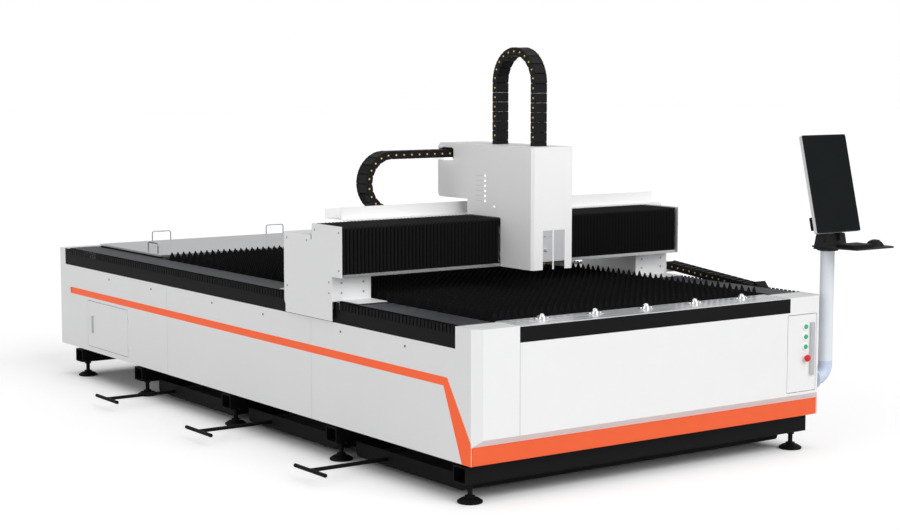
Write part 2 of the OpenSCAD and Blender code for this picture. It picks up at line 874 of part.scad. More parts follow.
module control_door() {
  color(white)
    difference() {
      block([door_in + door_gap, face_y, door_low + door_gap],
        [door_out - door_gap, front_y - 2, door_high - door_gap]);
      block([door_in + door_gap + 4, face_y + cover_wall, door_low + door_gap + 4],
        [door_out - door_gap - 4, front_y - 1, door_high - door_gap - 4]);
      for (z = button_z) translate([button_x, face_y + 6, z]) rotate([90, 0, 0])
        cylinder(d = button_d + 2 + 2 * button_clear, h = 8);
      translate([button_x, face_y + 6, stop_z]) rotate([90, 0, 0])
        cylinder(d = 20 + 2 * button_clear, h = 8);
    }
  color(steel)
    for (z = [door_low - pivot_h + 1, door_high - door_gap - 8])
      translate([pivot_x, pivot_y, z]) cylinder(d = pivot_d, h = pivot_h + door_gap + 7);
}

module bar_handle() {
  color([0.78, 0.79, 0.8])
    block([button_x + 34, face_y - 12, bar_low], [button_x + 60, face_y, bar_high]);
}

// Ring that holds a button in the door
module bezel(d, bore) {
  rotate([90, 0, 0])
    rotate_extrude()
      polygon([[bore / 2, -12], [d / 2 - 5, -12], [d / 2 - 5, 0], [d / 2, 0], [d / 2, 3], [d / 2 - 2, 5],
        [bore / 2, 5]]);
}

module button_bezels() {
  color(steel) {
    for (z = button_z) translate([button_x, face_y, z]) bezel(button_d + 12, button_d - 4);
    translate([button_x, face_y, stop_z]) bezel(30, 14);
  }
}

module push_button(z) {
  color([0.15, 0.62, 0.42])
    translate([button_x, face_y - 1, z])
      rotate([90, 0, 0])
        rotate_extrude()
          polygon([[0, -11], [button_d / 2 - 2 - button_clear, -11], [button_d / 2 - 2 - button_clear, 8],
            [button_d / 2 - 4, 10], [0, 10]]);
}

module stop_button() {
  color([0.85, 0.12, 0.12])
    translate([button_x, face_y - 5, stop_z])
      rotate([90, 0, 0])
        rotate_extrude()
          polygon([[0, -15], [7 - button_clear, -15], [7 - button_clear, 10], [stop_d / 2 - 3, 10],
            [stop_d / 2, 13],
            [stop_d / 2, 19], [stop_d / 2 - 4, 24], [0, 26]]);
}

// Drawer section in Y and Z with rounded lower corners, drawn in by an amount
module drawer_outline(y0, y1, low, high, inset) {
  r = 26;
  polygon(concat(
    [[y0 + inset, high]],
    [for (a = [0 : 15 : 90]) [y0 + r - (r - inset) * cos(a), low + r - (r - inset) * sin(a)]],
    [for (a = [90 : -15 : 0]) [y1 - r + (r - inset) * cos(a), low + r - (r - inset) * sin(a)]],
    [[y1 - inset, high]]
  ));
}

module slag_drawer(i) {
  y0 = rows[i - 1] + tube_w / 2 + 4;
  y1 = rows[i] - tube_w / 2 - 4;
  rod_y = front_y + 865 + (i - 1) * handle_pitch;
  left = -side_x + 110;
  right = side_x - 80;
  low = 30;
  lip = tube_bottom + ledge_t;
  color(black) {
    difference() {
      union() {
        along_x(left, right) drawer_outline(y0 + 34, y1 - 34, low, lip + 4, 0);
        block([left, y0, lip + 0.3], [right, y1, lip + 4]);
      }
      along_x(left + 4, right - 4) drawer_outline(y0 + 34, y1 - 34, low, lip + 5, 4);
    }
    translate([handle_x + rod_d / 2, rod_y, rod_z])
      rotate([0, 90, 0])
        cylinder(d = rod_d, h = left - handle_x - rod_d / 2);
    translate([handle_x + rod_d / 2, rod_y + grip_len / 2, rod_z])
      rotate([90, 0, 0])
        cylinder(d = rod_d, h = grip_len);
  }
}

module console_tray() {
  color(black) {
    translate([pole_x, pole_y, tray_top - 26]) cylinder(d = 110, h = 20);
    translate([0, 0, tray_top - 8])
      linear_extrude(8)
        polygon([[pole_x - 70, pole_y + 45], [pole_x - 70, tray_front + 140], [pole_x - 40, tray_front],
          [tray_right - 15, tray_front], [tray_right, tray_front + 15], [tray_right, tray_front + 155],
          [tray_right - 15, tray_front + 170], [pole_x + 90, tray_front + 170],
            [pole_x + 70, pole_y + 45]]);
    along_y(pole_y - 25, pole_y + 35)
      polygon([[hub_x - hub_foot / 2, tray_top - 18], [hub_x + hub_foot / 2, tray_top - 18],
        [hub_x + hub_head / 2, tray_top + hub_h], [hub_x - hub_head / 2, tray_top + hub_h]]);
    for (s = [-1, 1])
      translate([pole_x + s * 49 - 6, tilt_y, screen_tilt_z])
        difference() {
          union() {
            rotate([0, 90, 0]) cylinder(r = 12, h = 12);
            translate([0, -5, -56]) cube([12, 50, 56]);
          }
          translate([-1, 0, 0]) rotate([0, 90, 0]) cylinder(d = tilt_pin_d + 2 * shaft_clear, h = 14);
        }
  }
}

module keyboard() {
  color(black)
    translate([keyboard_left, tray_front + 18, tray_top])
      difference() {
        cube([keyboard_w, 120, 16]);
        for (i = [0 : key_columns - 1], j = [0 : key_rows - 1])
          translate([5 + i * key_pitch, 8 + j * 21.5, 12]) cube([1.4, 19, 5]);
      }
}

module mouse() {
  color(black)
    translate([mouse_x, tray_front + 80, tray_top])
      intersection() {
        translate([0, 0, -18]) sphere(r = 52);
        translate([-50, -50, 0]) cube([100, 100, 40]);
      }
}

// Places its children in the monitor's own frame: X across, Y out of the back, Z up its height
module on_monitor() {
  translate([pole_x, tilt_y, screen_tilt_z])
    rotate([-monitor_lean, 0, 0])
      children();
}

// Upright plate with rounded corners, front at y = 0, lower edge at z = 0
module rounded_plate(w, t, h, r) {
  translate([-w / 2, 0, r]) cube([w, t, h - 2 * r]);
  translate([r - w / 2, 0, 0]) cube([w - 2 * r, t, h]);
  for (x = [r - w / 2, w / 2 - r], z = [r, h - r])
    translate([x, t, z]) rotate([90, 0, 0]) cylinder(r = r, h = t);
}

module monitor_case() {
  color(white)
    on_monitor() {
      difference() {
        translate([0, -monitor_t - 14, -18]) rounded_plate(monitor_w, monitor_t, monitor_h, monitor_corner);
        translate([0, -monitor_t - 15, -15])
          rounded_plate(monitor_w - 6, 7, monitor_h - 6, monitor_corner - 3);
      }
      translate([-40, -14, -8]) cube([80, 8, 90]);
      rotate([0, 90, 0]) translate([0, 0, -56]) cylinder(d = tilt_pin_d, h = 112);
      translate([-40, -10, -8]) cube([80, 8, 14]);
    }
}

module monitor_screen() {
  color(black)
    on_monitor()
      translate([0, -monitor_t - 14, -14.7])
        rounded_plate(monitor_w - 6.6, 5.8, monitor_h - 6.6, monitor_corner - 3.3);
}

// Guide carriage that runs on a bed rail, middle of its length at y
module y_block(y) {
  difference() {
    block([-rail_x - 48, y - 55, rail_seat + 13], [-rail_x + 48, y + 55, saddle_bottom - weld_gap]);
    block([-rail_x - rail_w / 2 - run_clear, y - 56, rail_seat],
      [-rail_x + rail_w / 2 + run_clear, y + 56, rail_seat + rail_h + run_clear]);
  }
}

// Steel below and round the cover band on the left side
module saddle() {
  for (y = [saddle_front + 60, saddle_rear - 60]) y_block(y);
  block([-neck_in - neck_t, saddle_front, saddle_bottom],
    [-rail_x + 48, saddle_rear, saddle_bottom + saddle_t]);
  block([-neck_in - neck_t, saddle_front, saddle_bottom + saddle_t + weld_gap],
    [-neck_in, saddle_rear, base_z - weld_gap]);
}

// Leg from the base plate to the beam between two X positions
module leg(x0, x1) {
  foot = base_z + base_t + weld_gap;
  block([x0, saddle_front, base_z], [x1, saddle_rear, base_z + base_t]);
  for (x = [x0 + 40, x1 - 52])
    along_x(x, x + 12)
      polygon([[saddle_front, foot], [saddle_front, beam_bottom - weld_gap],
        [beam_back - 2, beam_bottom - weld_gap],
        [beam_back - 2, track_bottom - 14], [saddle_rear, foot]]);
}

module gantry_beam() {
  color([0.85, 0.85, 0.86]) {
    difference() {
      block([beam_left, beam_front, beam_bottom], [beam_right, beam_back, beam_top]);
      block([beam_left - 1, beam_front + 8, beam_bottom + 8],
        [beam_right + 1, beam_back - 8, beam_top - 8]);
    }
    both_sides() saddle();
    leg(-skirt_x + sheet, -leg_in_left - sheet);
    leg(leg_in_right + sheet, leg_out_right - sheet);
    block([neck_in + neck_t + weld_gap, y_end - 40, arm_top - arm_t],
      [y_chain_in + y_chain_w, y_end + 10, arm_top]);
  }
}

// Outline of a leg cover's box in Y and Z, drawn in by an amount
module leg_box(inset, open_low) {
  polygon([
    [leg_front + inset, leg_bottom - open_low], [leg_front + inset, track_bottom - 2 + open_low],
    [beam_back + 5 + inset, track_bottom - 2 + open_low], [beam_back + 5 + inset, leg_top - inset],
    [leg_rear - inset, leg_top - inset], [leg_rear - inset, leg_bottom - open_low]
  ]);
}

// Side plate of a leg cover with the upper step that closes the beam's end
module leg_plate(low) {
  polygon([
    [leg_front, low], [leg_front, track_bottom], [bellows_front - 4, track_bottom],
      [bellows_front - 4, bellows_top + 3],
    [beam_back - 20, bellows_top + 3], [beam_back - 20, leg_top - 20], [beam_back - 10, leg_top - 20],
    [beam_back - 10, leg_top], [leg_rear, leg_top], [leg_rear, low + 60], [leg_rear - 12, low + 40],
      [leg_rear - 12, low]
  ]);
}

module leg_box_shell(x0, x1, plate_lo, plate_hi) {
  difference() {
    along_x(x0, x1) leg_box(0, 0);
    along_x(x0 + plate_lo, x1 - plate_hi) leg_box(sheet, 1);
  }
}

module leg_covers() {
  wiper = 150;
  color(white) {
    leg_box_shell(-skirt_x + sheet, -leg_in_left, 0, sheet);
    along_x(-skirt_x, -skirt_x + sheet) leg_plate(guard_bottom + 8);
    leg_box_shell(leg_in_right, leg_out_right - sheet, sheet, 0);
    difference() {
      along_x(leg_out_right - sheet, leg_out_right) leg_plate(leg_bottom);
      block([leg_out_right - sheet - 1, y_end - 44, arm_top - arm_t - 4],
        [leg_out_right + 1, y_end + 14, arm_top + 4]);
    }
    for (x = [[-band_out, -leg_in_left], [leg_in_right, band_out]]) {
      block([x[0], leg_front - wiper, leg_bottom], [x[1], leg_front - weld_gap, leg_bottom + sheet]);
      block([x[0], leg_rear + weld_gap, leg_bottom], [x[1], leg_rear + wiper, leg_bottom + sheet]);
    }
  }
}

module x_rails() {
  color(steel) {
    for (z = [beam_bottom + 30, beam_top - 30])
      along_x(beam_left + 10, beam_right - 10)
        translate([beam_front, z])
          polygon([[0, -11.5], [0, 11.5], [-9, 11.5], [-13, 8], [-17, 8], [-20, 11.5], [-26, 11.5],
            [-26, -11.5],
            [-20, -11.5], [-17, -8], [-13, -8], [-9, -11.5]]);
    translate([beam_left + 10, beam_front + x_rack_y, beam_top])
      linear_extrude(rack_w)
        rack_profile(beam_right - beam_left - 20, x_rack_h);
    along_x(beam_left, beam_right)
      polygon([[bellows_front, track_bottom], [beam_front, track_bottom], [beam_front, beam_bottom + 12],
        [beam_front - 6, beam_bottom + 12], [beam_front - 6, track_top], [bellows_front, track_top]]);
  }
}

module chain_tray() {
  f = x_tray_floor;
  color(white)
    along_x(x_tray_left, x_tray_right)
      polygon([[beam_back, f - x_tray_flange], [beam_back + sheet, f - x_tray_flange],
        [beam_back + sheet, f - sheet],
        [x_tray_rear, f - sheet],
        [x_tray_rear, f + x_tray_wall], [x_tray_rear - sheet, f + x_tray_wall], [x_tray_rear - sheet, f],
        [x_tray_front + sheet, f], [x_tray_front + sheet, f + x_tray_wall], [x_tray_front, f + x_tray_wall],
        [x_tray_front, f], [beam_back, f]]);
}

// Fold line of the bellows from x0 to x1: zero on a ridge, pleat_d in a valley
function fold_points(x0, x1) =
  let (count = round((x1 - x0) / pleat_pitch), step = (x1 - x0) / count)
  [for (i = [0 : 2 * count]) [x0 + i * step / 2, i % 2 == 0 ? pleat_d : 0]];

module bellows(x0, x1) {
  folds = fold_points(x0, x1);
  wall = pleat_d + bellows_wall;
  color(black)
    difference() {
      intersection() {
        translate([0, 0, bellows_bottom])
          linear_extrude(bellows_top - bellows_bottom)
            polygon(concat([for (p = folds) [p[0], bellows_front + p[1]]], [[x1, bellows_back],
              [x0, bellows_back]]));
        along_y(bellows_front, bellows_back)
          polygon(concat([for (p = folds) [p[0], bellows_top - p[1]]], [[x1, bellows_bottom],
            [x0, bellows_bottom]]));
      }
      block([x0 - 1, bellows_front + wall, bellows_bottom - 1],
        [x1 + 1, bellows_back + 1, bellows_top - wall]);
    }
}

module bellows_left() {
  bellows(beam_left - 5, head_left - 1);
}

module bellows_right() {
  bellows(head_right + 1, beam_right + 6);
}

module y_motor() {
  translate([-rack_in - rack_w - 1, motor_y, motor_z])
    rotate([0, -90, 0]) {
      translate([-38, -62, 0]) cube([76, 110, 9]);
      translate([0, 0, 9]) cylinder(d = 80, h = 24);
      translate([-36, -36, 33]) cube([72, 72, 92]);
      translate([0, 0, -rack_w - 1]) cylinder(d = shaft_d, h = rack_w + 2);
    }
}

module y_motors() {
  color(black) both_sides() y_motor();
}

module y_pinion() {
  nearest_tooth = band_front + 20 + gear_pitch / 2 - motor_y;
  phase = 180 / gear_teeth - nearest_tooth / gear_r * 180 / PI;
  color(steel)
    translate([-rack_in, motor_y, motor_z])
      rotate([0, -90, 0])
        difference() {
          linear_extrude(rack_w) gear_profile(phase);
          translate([0, 0, -1]) cylinder(d = shaft_d + 2 * shaft_clear, h = rack_w + 2);
        }
}

module y_pinion_left() {
  y_pinion();
}

module y_pinion_right() {
  mirror([1, 0, 0]) y_pinion();
}

module x_block(x, z) {
  difference() {
    block([x - 35, plate_front + plate_t, z - 26], [x + 35, beam_front - 8, z + 26]);
    block([x - 36, beam_front - 26 - run_clear, z - 11.5 - run_clear],
      [x + 36, beam_front, z + 11.5 + run_clear]);
  }
}

module x_carriage() {
  color([0.6, 0.61, 0.63]) {
    block([head_left + sheet, plate_front, beam_bottom - 8],
      [head_right - sheet, plate_front + plate_t, head_top - 190]);
    for (x = [head_x - 80, head_x + 80], z = [beam_bottom + 30, beam_top - 30]) x_block(x, z);
    difference() {
      block([head_left + sheet, plate_front + plate_t, beam_top + 30],
        [head_right - sheet, bellows_back - 10, beam_top + 44]);
      translate([head_x, pinion_y, beam_top + 29]) cylinder(d = 50, h = 20);
    }
    for (x = [head_x - 60, head_x + 60])
      block([x - 10, plate_front - 14, beam_bottom + 60], [x + 10, plate_front, head_top - 200]);
    block([head_x - 30, z_loop_y + z_chain_r - chain_t / 2 - 8.3, beam_top + 44],
      [head_x + 30, z_loop_y + z_chain_r - chain_t / 2 - 0.3, z_chain_low + 60]);
  }
}

// Head cover outline in Y and Z, drawn in by an amount
module head_outline(inset, low) {
  neck = bellows_back - 3 - inset;
  polygon([
    [head_front + inset, head_bottom - low], [bellows_front - 3 + low, head_bottom - low],
    [bellows_front - 3 + low, bellows_top + 3 - low], [neck, bellows_top + 3 - low],
    [neck, tail_bottom + inset], [tail_rear - 14 - inset, tail_bottom + inset],
    [tail_rear - inset, tail_bottom + 18 + inset], [tail_rear - inset, head_top - 22 - inset],
    [tail_rear - 22 - inset, head_top - inset], [head_front + inset, head_top - inset]
  ]);
}

// Head cover plan with bevelled front corners, drawn in by an amount
module head_plan(inset) {
  cut = head_bevel + inset * (sqrt(2) - 1);
  linear_extrude(head_top + 1)
    polygon([
      [head_left + inset, tail_rear + 1], [head_left + inset, head_front + cut],
        [head_left + cut, head_front + inset],
      [head_right - cut, head_front + inset], [head_right - inset, head_front + cut],
        [head_right - inset, tail_rear + 1]
    ]);
}

module head_cover() {
  color(white)
    difference() {
      intersection() {
        along_x(head_left, head_right) head_outline(0, 0);
        head_plan(0);
      }
      intersection() {
        along_x(head_left + sheet, head_right - sheet) head_outline(sheet, 4);
        head_plan(sheet);
      }
      block([window_left, head_front - 1, head_bottom - 1],
        [window_bar_left, head_front + sheet + 1, window_top]);
      block([window_bar_right, head_front - 1, head_bottom - 1],
        [window_right, head_front + sheet + 1, window_top]);
      for (y = [z_loop_y - z_chain_r, z_loop_y + z_chain_r])
        block([head_x - z_chain_w / 2 - 4, y - chain_t / 2 - 4, head_top - 10],
          [head_x + z_chain_w / 2 + 4, y + chain_t / 2 + 4, head_top + 1]);
      block([head_left - 1, x_chain_front - 6, x_chain_mid_z + x_chain_r - chain_t / 2 - 8],
        [head_left + sheet + 1, tail_rear + 1, x_chain_mid_z + x_chain_r + chain_t / 2 + 6]);
      for (k = [0 : 5])
        translate([head_left - 1, bellows_front + 90, tail_bottom - 3 + k * 27]) rotate([0, 90, 0])
          cylinder(d = 9, h = head_w + 2);
    }
}

// Plate behind the two windows, with the left one's knob and sight holes
module window_plates() {
  plate_y = head_front + sheet;
  knob = [window_left + 24, head_bottom + 103];
  color([0.55, 0.56, 0.58]) {
    difference() {
      block([window_left - 12, plate_y, head_bottom + 2],
        [window_right + 12, plate_y + 4, window_top + 12]);
      for (i = [0 : 1], j = [0 : 1])
        translate([window_left + 14 + i * 36, plate_y - 1, head_bottom + 34 + j * 138])
          rotate([-90, 0, 0]) cylinder(d = 7, h = 6);
    }
    translate([knob[0], plate_y, knob[1]]) rotate([90, 0, 0]) cylinder(d = 18, h = 14);
  }
}

module head_motors() {
  color(black) {
    translate([head_x, pinion_y, beam_top + 44]) {
      translate([0, 0, -43]) cylinder(d = shaft_d, h = 44);
      translate([-45, -45, 0]) cube([90, 90, 14]);
      translate([0, 0, 14]) cylinder(d = 80, h = 40);
      translate([-40, -40, 54]) cube([80, 80, 110]);
    }
    translate([head_x, plate_front - 48, head_top - 190]) {
      translate([-40, -32, 0]) cube([80, 96, 12]);
      translate([-30, -30, 12]) cube([60, 60, 100]);
    }
  }
}

module x_pinion() {
  nearest_tooth = beam_left + 10 + gear_pitch / 2 - head_x;
  color(steel)
    translate([head_x, pinion_y, beam_top + 1])
      difference() {
        linear_extrude(20) gear_profile(180 / gear_teeth + nearest_tooth / gear_r * 180 / PI);
        translate([0, 0, -1]) cylinder(d = shaft_d + 2 * shaft_clear, h = 22);
      }
}

module x_chain() {
  low_z = x_chain_mid_z - x_chain_r;
  high_z = x_chain_mid_z + x_chain_r;
  color(black)
    translate([0, x_chain_front + x_chain_w / 2, 0]) {
      link_run([x_loop_x, high_z], [x_chain_end, high_z], x_chain_w, wide_cut);
      link_arc([x_loop_x, x_chain_mid_z], x_chain_r, 90, 270, x_chain_w, wide_cut);
      link_run([x_loop_x, low_z], [x_chain_fixed, low_z], x_chain_w, wide_cut);
      translate([x_chain_fixed - 50, -x_chain_w / 2 + 8, x_tray_floor]) cube([50, x_chain_w - 16, 8]);
      translate([x_chain_end - 30, -x_chain_w / 2 + 8, high_z + chain_t / 2 - 4])
        cube([30, x_chain_w - 16, head_top - sheet - high_z - chain_t / 2 + 3.7]);
    }
}

module cutting_head() {
  body_front = head_front + 24;
  color([0.7, 0.71, 0.72]) {
    difference() {
      block([head_x - 85, plate_front - 34, beam_bottom + 90],
        [head_x + 85, plate_front - 6, head_top - 260]);
      for (x = [head_x - 60, head_x + 60])
        block([x - 10 - run_clear, plate_front - 14 - run_clear, beam_bottom + 89],
          [x + 10 + run_clear, plate_front, head_top - 259]);
    }
    block([head_x - 62, body_front, beam_bottom + 60], [head_x + 70, plate_front - 34, beam_bottom + 330]);
    translate([head_x, body_front + 60, beam_bottom + 20]) cylinder(d = 76, h = 40);
    block([head_x - 30, z_loop_y - z_chain_r - chain_t / 2 - 8.3, beam_bottom + 330],
      [head_x + 30, z_loop_y - z_chain_r - chain_t / 2 - 0.3, z_chain_low + 60]);
  }
}

module nozzle() {
  color([0.72, 0.45, 0.25])
    translate([head_x, head_front + 84, beam_bottom - 22])
      difference() {
        rotate_extrude()
          polygon([[0, 0], [4, 0], [14, 14], [14, 20], [30, 28], [30, 42], [0, 42]]);
        translate([0, 0, -1]) cylinder(d = 2.4, h = 44);
      }
}

module z_chain() {
  color(black)
    translate([head_x, z_loop_y, 0])
      rotate([0, 0, 90]) {
        link_run([-z_chain_r, z_chain_low], [-z_chain_r, z_loop_z], z_chain_w, wide_cut);
        link_arc([0, z_loop_z], z_chain_r, 180, 0, z_chain_w, wide_cut);
        link_run([z_chain_r, z_loop_z], [z_chain_r, z_chain_low], z_chain_w, wide_cut);
      }
}

base_frame();
levelling_feet();
side_panel_left();
side_panel_right();
side_stripes();
front_cover();
kick_band();
front_strip();
front_ledge();
ball_cups();
transfer_ball(1);  // transfer_ball_1
transfer_ball(2);  // transfer_ball_2
transfer_ball(3);  // transfer_ball_3
transfer_ball(4);  // transfer_ball_4
transfer_ball(5);  // transfer_ball_5
rear_panel();
y_rails();
rail_guards();
cover_bands();
slat_frame();
slats();
rear_covers();
plate_handles();
y_chain_tray();
y_chain();
console_post();
side_door();
control_door();
bar_handle();
button_bezels();
push_button(button_z[0]);  // button_1
push_button(button_z[1]);  // button_2
push_button(button_z[2]);  // button_3
stop_button();
slag_drawer(1);  // slag_drawer_1
slag_drawer(2);  // slag_drawer_2
slag_drawer(3);  // slag_drawer_3
console_tray();
keyboard();
mouse();
monitor_case();
monitor_screen();
gantry_beam();
leg_covers();
x_rails();
chain_tray();
bellows_left();
bellows_right();
y_motors();
y_pinion_left();
y_pinion_right();
x_carriage();
head_cover();
window_plates();
head_motors();
x_pinion();
x_chain();
cutting_head();
nozzle();
z_chain();
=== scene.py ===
"""Picture model of a flat-bed fiber laser cutting machine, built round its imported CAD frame."""

import json
import math
from typing import NamedTuple

import bmesh
import bpy
from mathutils import Matrix, Vector


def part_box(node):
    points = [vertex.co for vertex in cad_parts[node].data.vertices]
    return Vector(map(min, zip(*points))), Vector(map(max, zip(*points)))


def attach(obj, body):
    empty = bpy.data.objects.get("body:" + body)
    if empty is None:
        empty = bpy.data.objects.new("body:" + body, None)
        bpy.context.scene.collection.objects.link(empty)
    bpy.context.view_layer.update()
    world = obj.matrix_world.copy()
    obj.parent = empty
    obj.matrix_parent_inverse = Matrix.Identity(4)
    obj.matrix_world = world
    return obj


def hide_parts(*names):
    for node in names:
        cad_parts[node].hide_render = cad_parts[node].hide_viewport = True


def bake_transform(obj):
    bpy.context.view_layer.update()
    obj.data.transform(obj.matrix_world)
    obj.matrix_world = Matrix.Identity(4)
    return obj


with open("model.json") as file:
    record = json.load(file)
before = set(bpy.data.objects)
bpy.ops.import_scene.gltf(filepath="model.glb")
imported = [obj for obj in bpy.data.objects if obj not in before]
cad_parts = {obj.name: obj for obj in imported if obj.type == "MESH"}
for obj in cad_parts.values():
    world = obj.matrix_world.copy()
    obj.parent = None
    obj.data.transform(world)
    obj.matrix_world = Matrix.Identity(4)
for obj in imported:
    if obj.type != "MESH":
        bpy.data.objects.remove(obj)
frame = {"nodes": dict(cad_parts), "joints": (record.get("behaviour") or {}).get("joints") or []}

bl_info = {
    "name": "Laser Cutter Look",
    "version": (1, 0, 0),
    "blender": (4, 5, 0),
    "location": "View3D > Sidebar > Laser Cutter",
    "description": "Finishes, small fittings, moving chains and bellows for a flat-bed laser cutter",
    "category": "Object",
}

# Camera that matches the photograph: place and reach in metres, turns in degrees
EYE = (-5.829, -8.823, 1.994)
AZIMUTH = -35.184
ELEVATION = 6.223
LENS_MM = 72.39
SENSOR_MM = 36.0
VIEW_REACH = 200


class Finish(NamedTuple):
    """Look of a surface: linear colour, shader values, and the scale of its grain along X, Y and Z."""

    colour: tuple
    rough: float
    metal: float
    mottle: float
    grain: tuple
    bump: float
    gloss: float


# Finishes: colour, roughness, metallic, mottle, grain, bump, specular level
FINISHES = {
    "white_paint": Finish((0.87, 0.875, 0.88), 0.38, 0.0, 0.012, (7, 7, 7), 0.0, 0.5),
    "bright_white": Finish((0.95, 0.95, 0.95), 0.4, 0.0, 0.01, (9, 9, 9), 0.0, 0.5),
    "black_paint": Finish((0.005, 0.005, 0.006), 0.55, 0.0, 0.25, (30, 30, 30), 0.05, 0.12),
    "slat_black": Finish((0.006, 0.006, 0.007), 0.6, 0.2, 0.35, (25, 25, 60), 0.1, 0.1),
    "orange_paint": Finish((0.88, 0.125, 0.036), 0.4, 0.0, 0.02, (8, 8, 8), 0.0, 0.3),
    # The side stripes' orange and the white of the head's dots and bracket glow with painted light
    "painted_light_orange": Finish((0.95, 0.135, 0.04), 0.4, 0.0, 0.02, (8, 8, 8), 0.0, 0.2),
    "painted_light_white": Finish((0.95, 0.95, 0.95), 0.4, 0.0, 0.01, (9, 9, 9), 0.0, 0.3),
    "wire_steel": Finish((0.3, 0.31, 0.33), 0.25, 1.0, 0.05, (30, 30, 30), 0.0, 0.5),
    "polished_steel": Finish((0.62, 0.63, 0.65), 0.22, 1.0, 0.06, (90, 2, 40), 0.02, 0.5),
    "ledge_steel": Finish((0.8, 0.81, 0.83), 0.28, 0.55, 0.08, (2, 90, 40), 0.02, 0.4),
    "plate_steel": Finish((0.79, 0.8, 0.82), 0.35, 1.0, 0.05, (3, 70, 30), 0.02, 0.5),
    "band_steel": Finish((0.03, 0.034, 0.041), 0.4, 0.2, 0.35, (80, 2, 40), 0.02, 0.1),
    "chrome": Finish((0.8, 0.81, 0.83), 0.08, 1.0, 0.02, (20, 20, 20), 0.0, 0.5),
    "pole_paint": Finish((0.78, 0.82, 0.88), 0.35, 0.0, 0.015, (8, 8, 8), 0.0, 0.5),
    "satin_grey": Finish((0.6, 0.61, 0.63), 0.4, 0.6, 0.05, (30, 30, 30), 0.0, 0.5),
    "green_lens": Finish((0.03, 0.5, 0.2), 0.25, 0.0, 0.04, (60, 60, 60), 0.0, 0.5),
    "red_cap": Finish((0.75, 0.01, 0.02), 0.3, 0.0, 0.04, (60, 60, 60), 0.0, 0.5),
    "black_plastic": Finish((0.007, 0.007, 0.008), 0.5, 0.0, 0.2, (60, 60, 60), 0.05, 0.15),
    "console_plastic": Finish((0.02, 0.02, 0.021), 0.5, 0.0, 0.15, (60, 60, 60), 0.03, 0.2),
    "case_plastic": Finish((0.8, 0.8, 0.81), 0.4, 0.0, 0.02, (25, 25, 25), 0.0, 0.5),
    "screen": Finish((0.005, 0.007, 0.0075), 0.35, 0.0, 0.03, (4, 4, 4), 0.0, 0.09),
    "bellows_cloth": Finish((0.0095, 0.0095, 0.0095), 0.6, 0.0, 0.2, (120, 120, 120), 0.08, 0.16),
    "gantry_paint": Finish((0.75, 0.75, 0.76), 0.4, 0.0, 0.03, (9, 9, 9), 0.0, 0.5),
    "machined": Finish((0.66, 0.67, 0.69), 0.3, 1.0, 0.05, (50, 5, 50), 0.02, 0.5),
    "copper": Finish((0.62, 0.27, 0.11), 0.3, 1.0, 0.05, (60, 60, 60), 0.0, 0.5),
    "gold_rivet": Finish((0.85, 0.6, 0.18), 0.3, 0.7, 0.05, (90, 90, 90), 0.0, 0.5),
    "seam_grey": Finish((0.55, 0.55, 0.56), 0.6, 0.0, 0.05, (30, 30, 30), 0.0, 0.5),
    # Dark strips of painted shade for slots
    "painted_slot_shade": Finish((0.02, 0.02, 0.022), 0.7, 0.0, 0.1, (30, 30, 30), 0.0, 0.1),
    "pale_screw": Finish((0.42, 0.42, 0.43), 0.35, 0.3, 0.05, (80, 80, 80), 0.0, 0.5),
    "screw_grey": Finish((0.14, 0.14, 0.15), 0.35, 0.8, 0.05, (80, 80, 80), 0.0, 0.5),
    "key_grey": Finish((0.03, 0.03, 0.032), 0.5, 0.0, 0.1, (80, 80, 80), 0.0, 0.2),
}

# Finishes that change below a height: lower colour, height, width of the change
FADES = {"pole_paint": ((0.6, 0.68, 0.84), 0.465, 0.004)}

# Painted shade: finishes that darken in the valleys of their folds, where shade falls: valley colour,
# share of a fold that it reaches
PAINTED_FOLD_SHADE = {"bellows_cloth": ((0.0008, 0.0008, 0.0008), 0.55)}

# Mesh layer that marks the folds for the painted fold shade, and the digits that tell two fold lines
# apart
RIDGE_LAYER = "ridge"
RIDGE_DIGITS = 4

# Painted light: finishes that glow though they are no lamps, so that they read brighter than their paint
# in the photograph: strength of their own light
PAINTED_GLOWS = {"painted_light_orange": 0.17, "painted_light_white": 0.7}

# CAD nodes that take each finish
NODE_FINISH = {
    "white_paint": "side_panel_left side_panel_right front_cover rear_panel side_door control_door "
                   "leg_covers",
    "black_paint": "base_frame levelling_feet front_strip rail_guards slat_frame y_chain_tray "
                   "slag_drawer_1 slag_drawer_2 slag_drawer_3 y_motors head_motors",
    "slat_black": "slats",
    "orange_paint": "kick_band",
    "painted_light_orange": "side_stripes",
    "wire_steel": "plate_handles",
    "ledge_steel": "front_ledge",
    "polished_steel": "y_rails x_rails x_pinion y_pinion_left y_pinion_right",
    "plate_steel": "rear_covers",
    "band_steel": "cover_bands",
    "chrome": "ball_cups transfer_ball_1 transfer_ball_2 transfer_ball_3 transfer_ball_4 "
              "transfer_ball_5",
    "pole_paint": "console_post",
    "satin_grey": "bar_handle window_plates",
    "bright_white": "button_bezels chain_tray head_cover",
    "green_lens": "button_1 button_2 button_3",
    "red_cap": "stop_button",
    "black_plastic": "keyboard mouse y_chain x_chain z_chain",
    "console_plastic": "console_tray",
    "case_plastic": "monitor_case",
    "screen": "monitor_screen",
    "bellows_cloth": "bellows_left bellows_right",
    "gantry_paint": "gantry_beam",
    "machined": "x_carriage cutting_head",
    "copper": "nozzle",
}

# Shared by all finishes: spread of the roughness, its least value, detail of the grain, depth of the bump
ROUGH_SPREAD = 0.06
LEAST_ROUGH = 0.03
GRAIN_DETAIL = 5.0
BUMP_DEPTH = 0.002

# Sockets of a colour mix node
MIX_FACTOR = 0
MIX_FIRST = 6
MIX_SECOND = 7
MIX_RESULT = 2

# Corner points closer than this are joined
WELD = 1e-6

# Sides of a rod, steps in a rounded corner, and the share of an inset that its radius loses
ROD_SIDES = 16
ARC_STEPS = 4
CORNER_LOSS = 0.5

# Axis that a chain's width lies along
X_AXIS = 0
Y_AXIS = 1

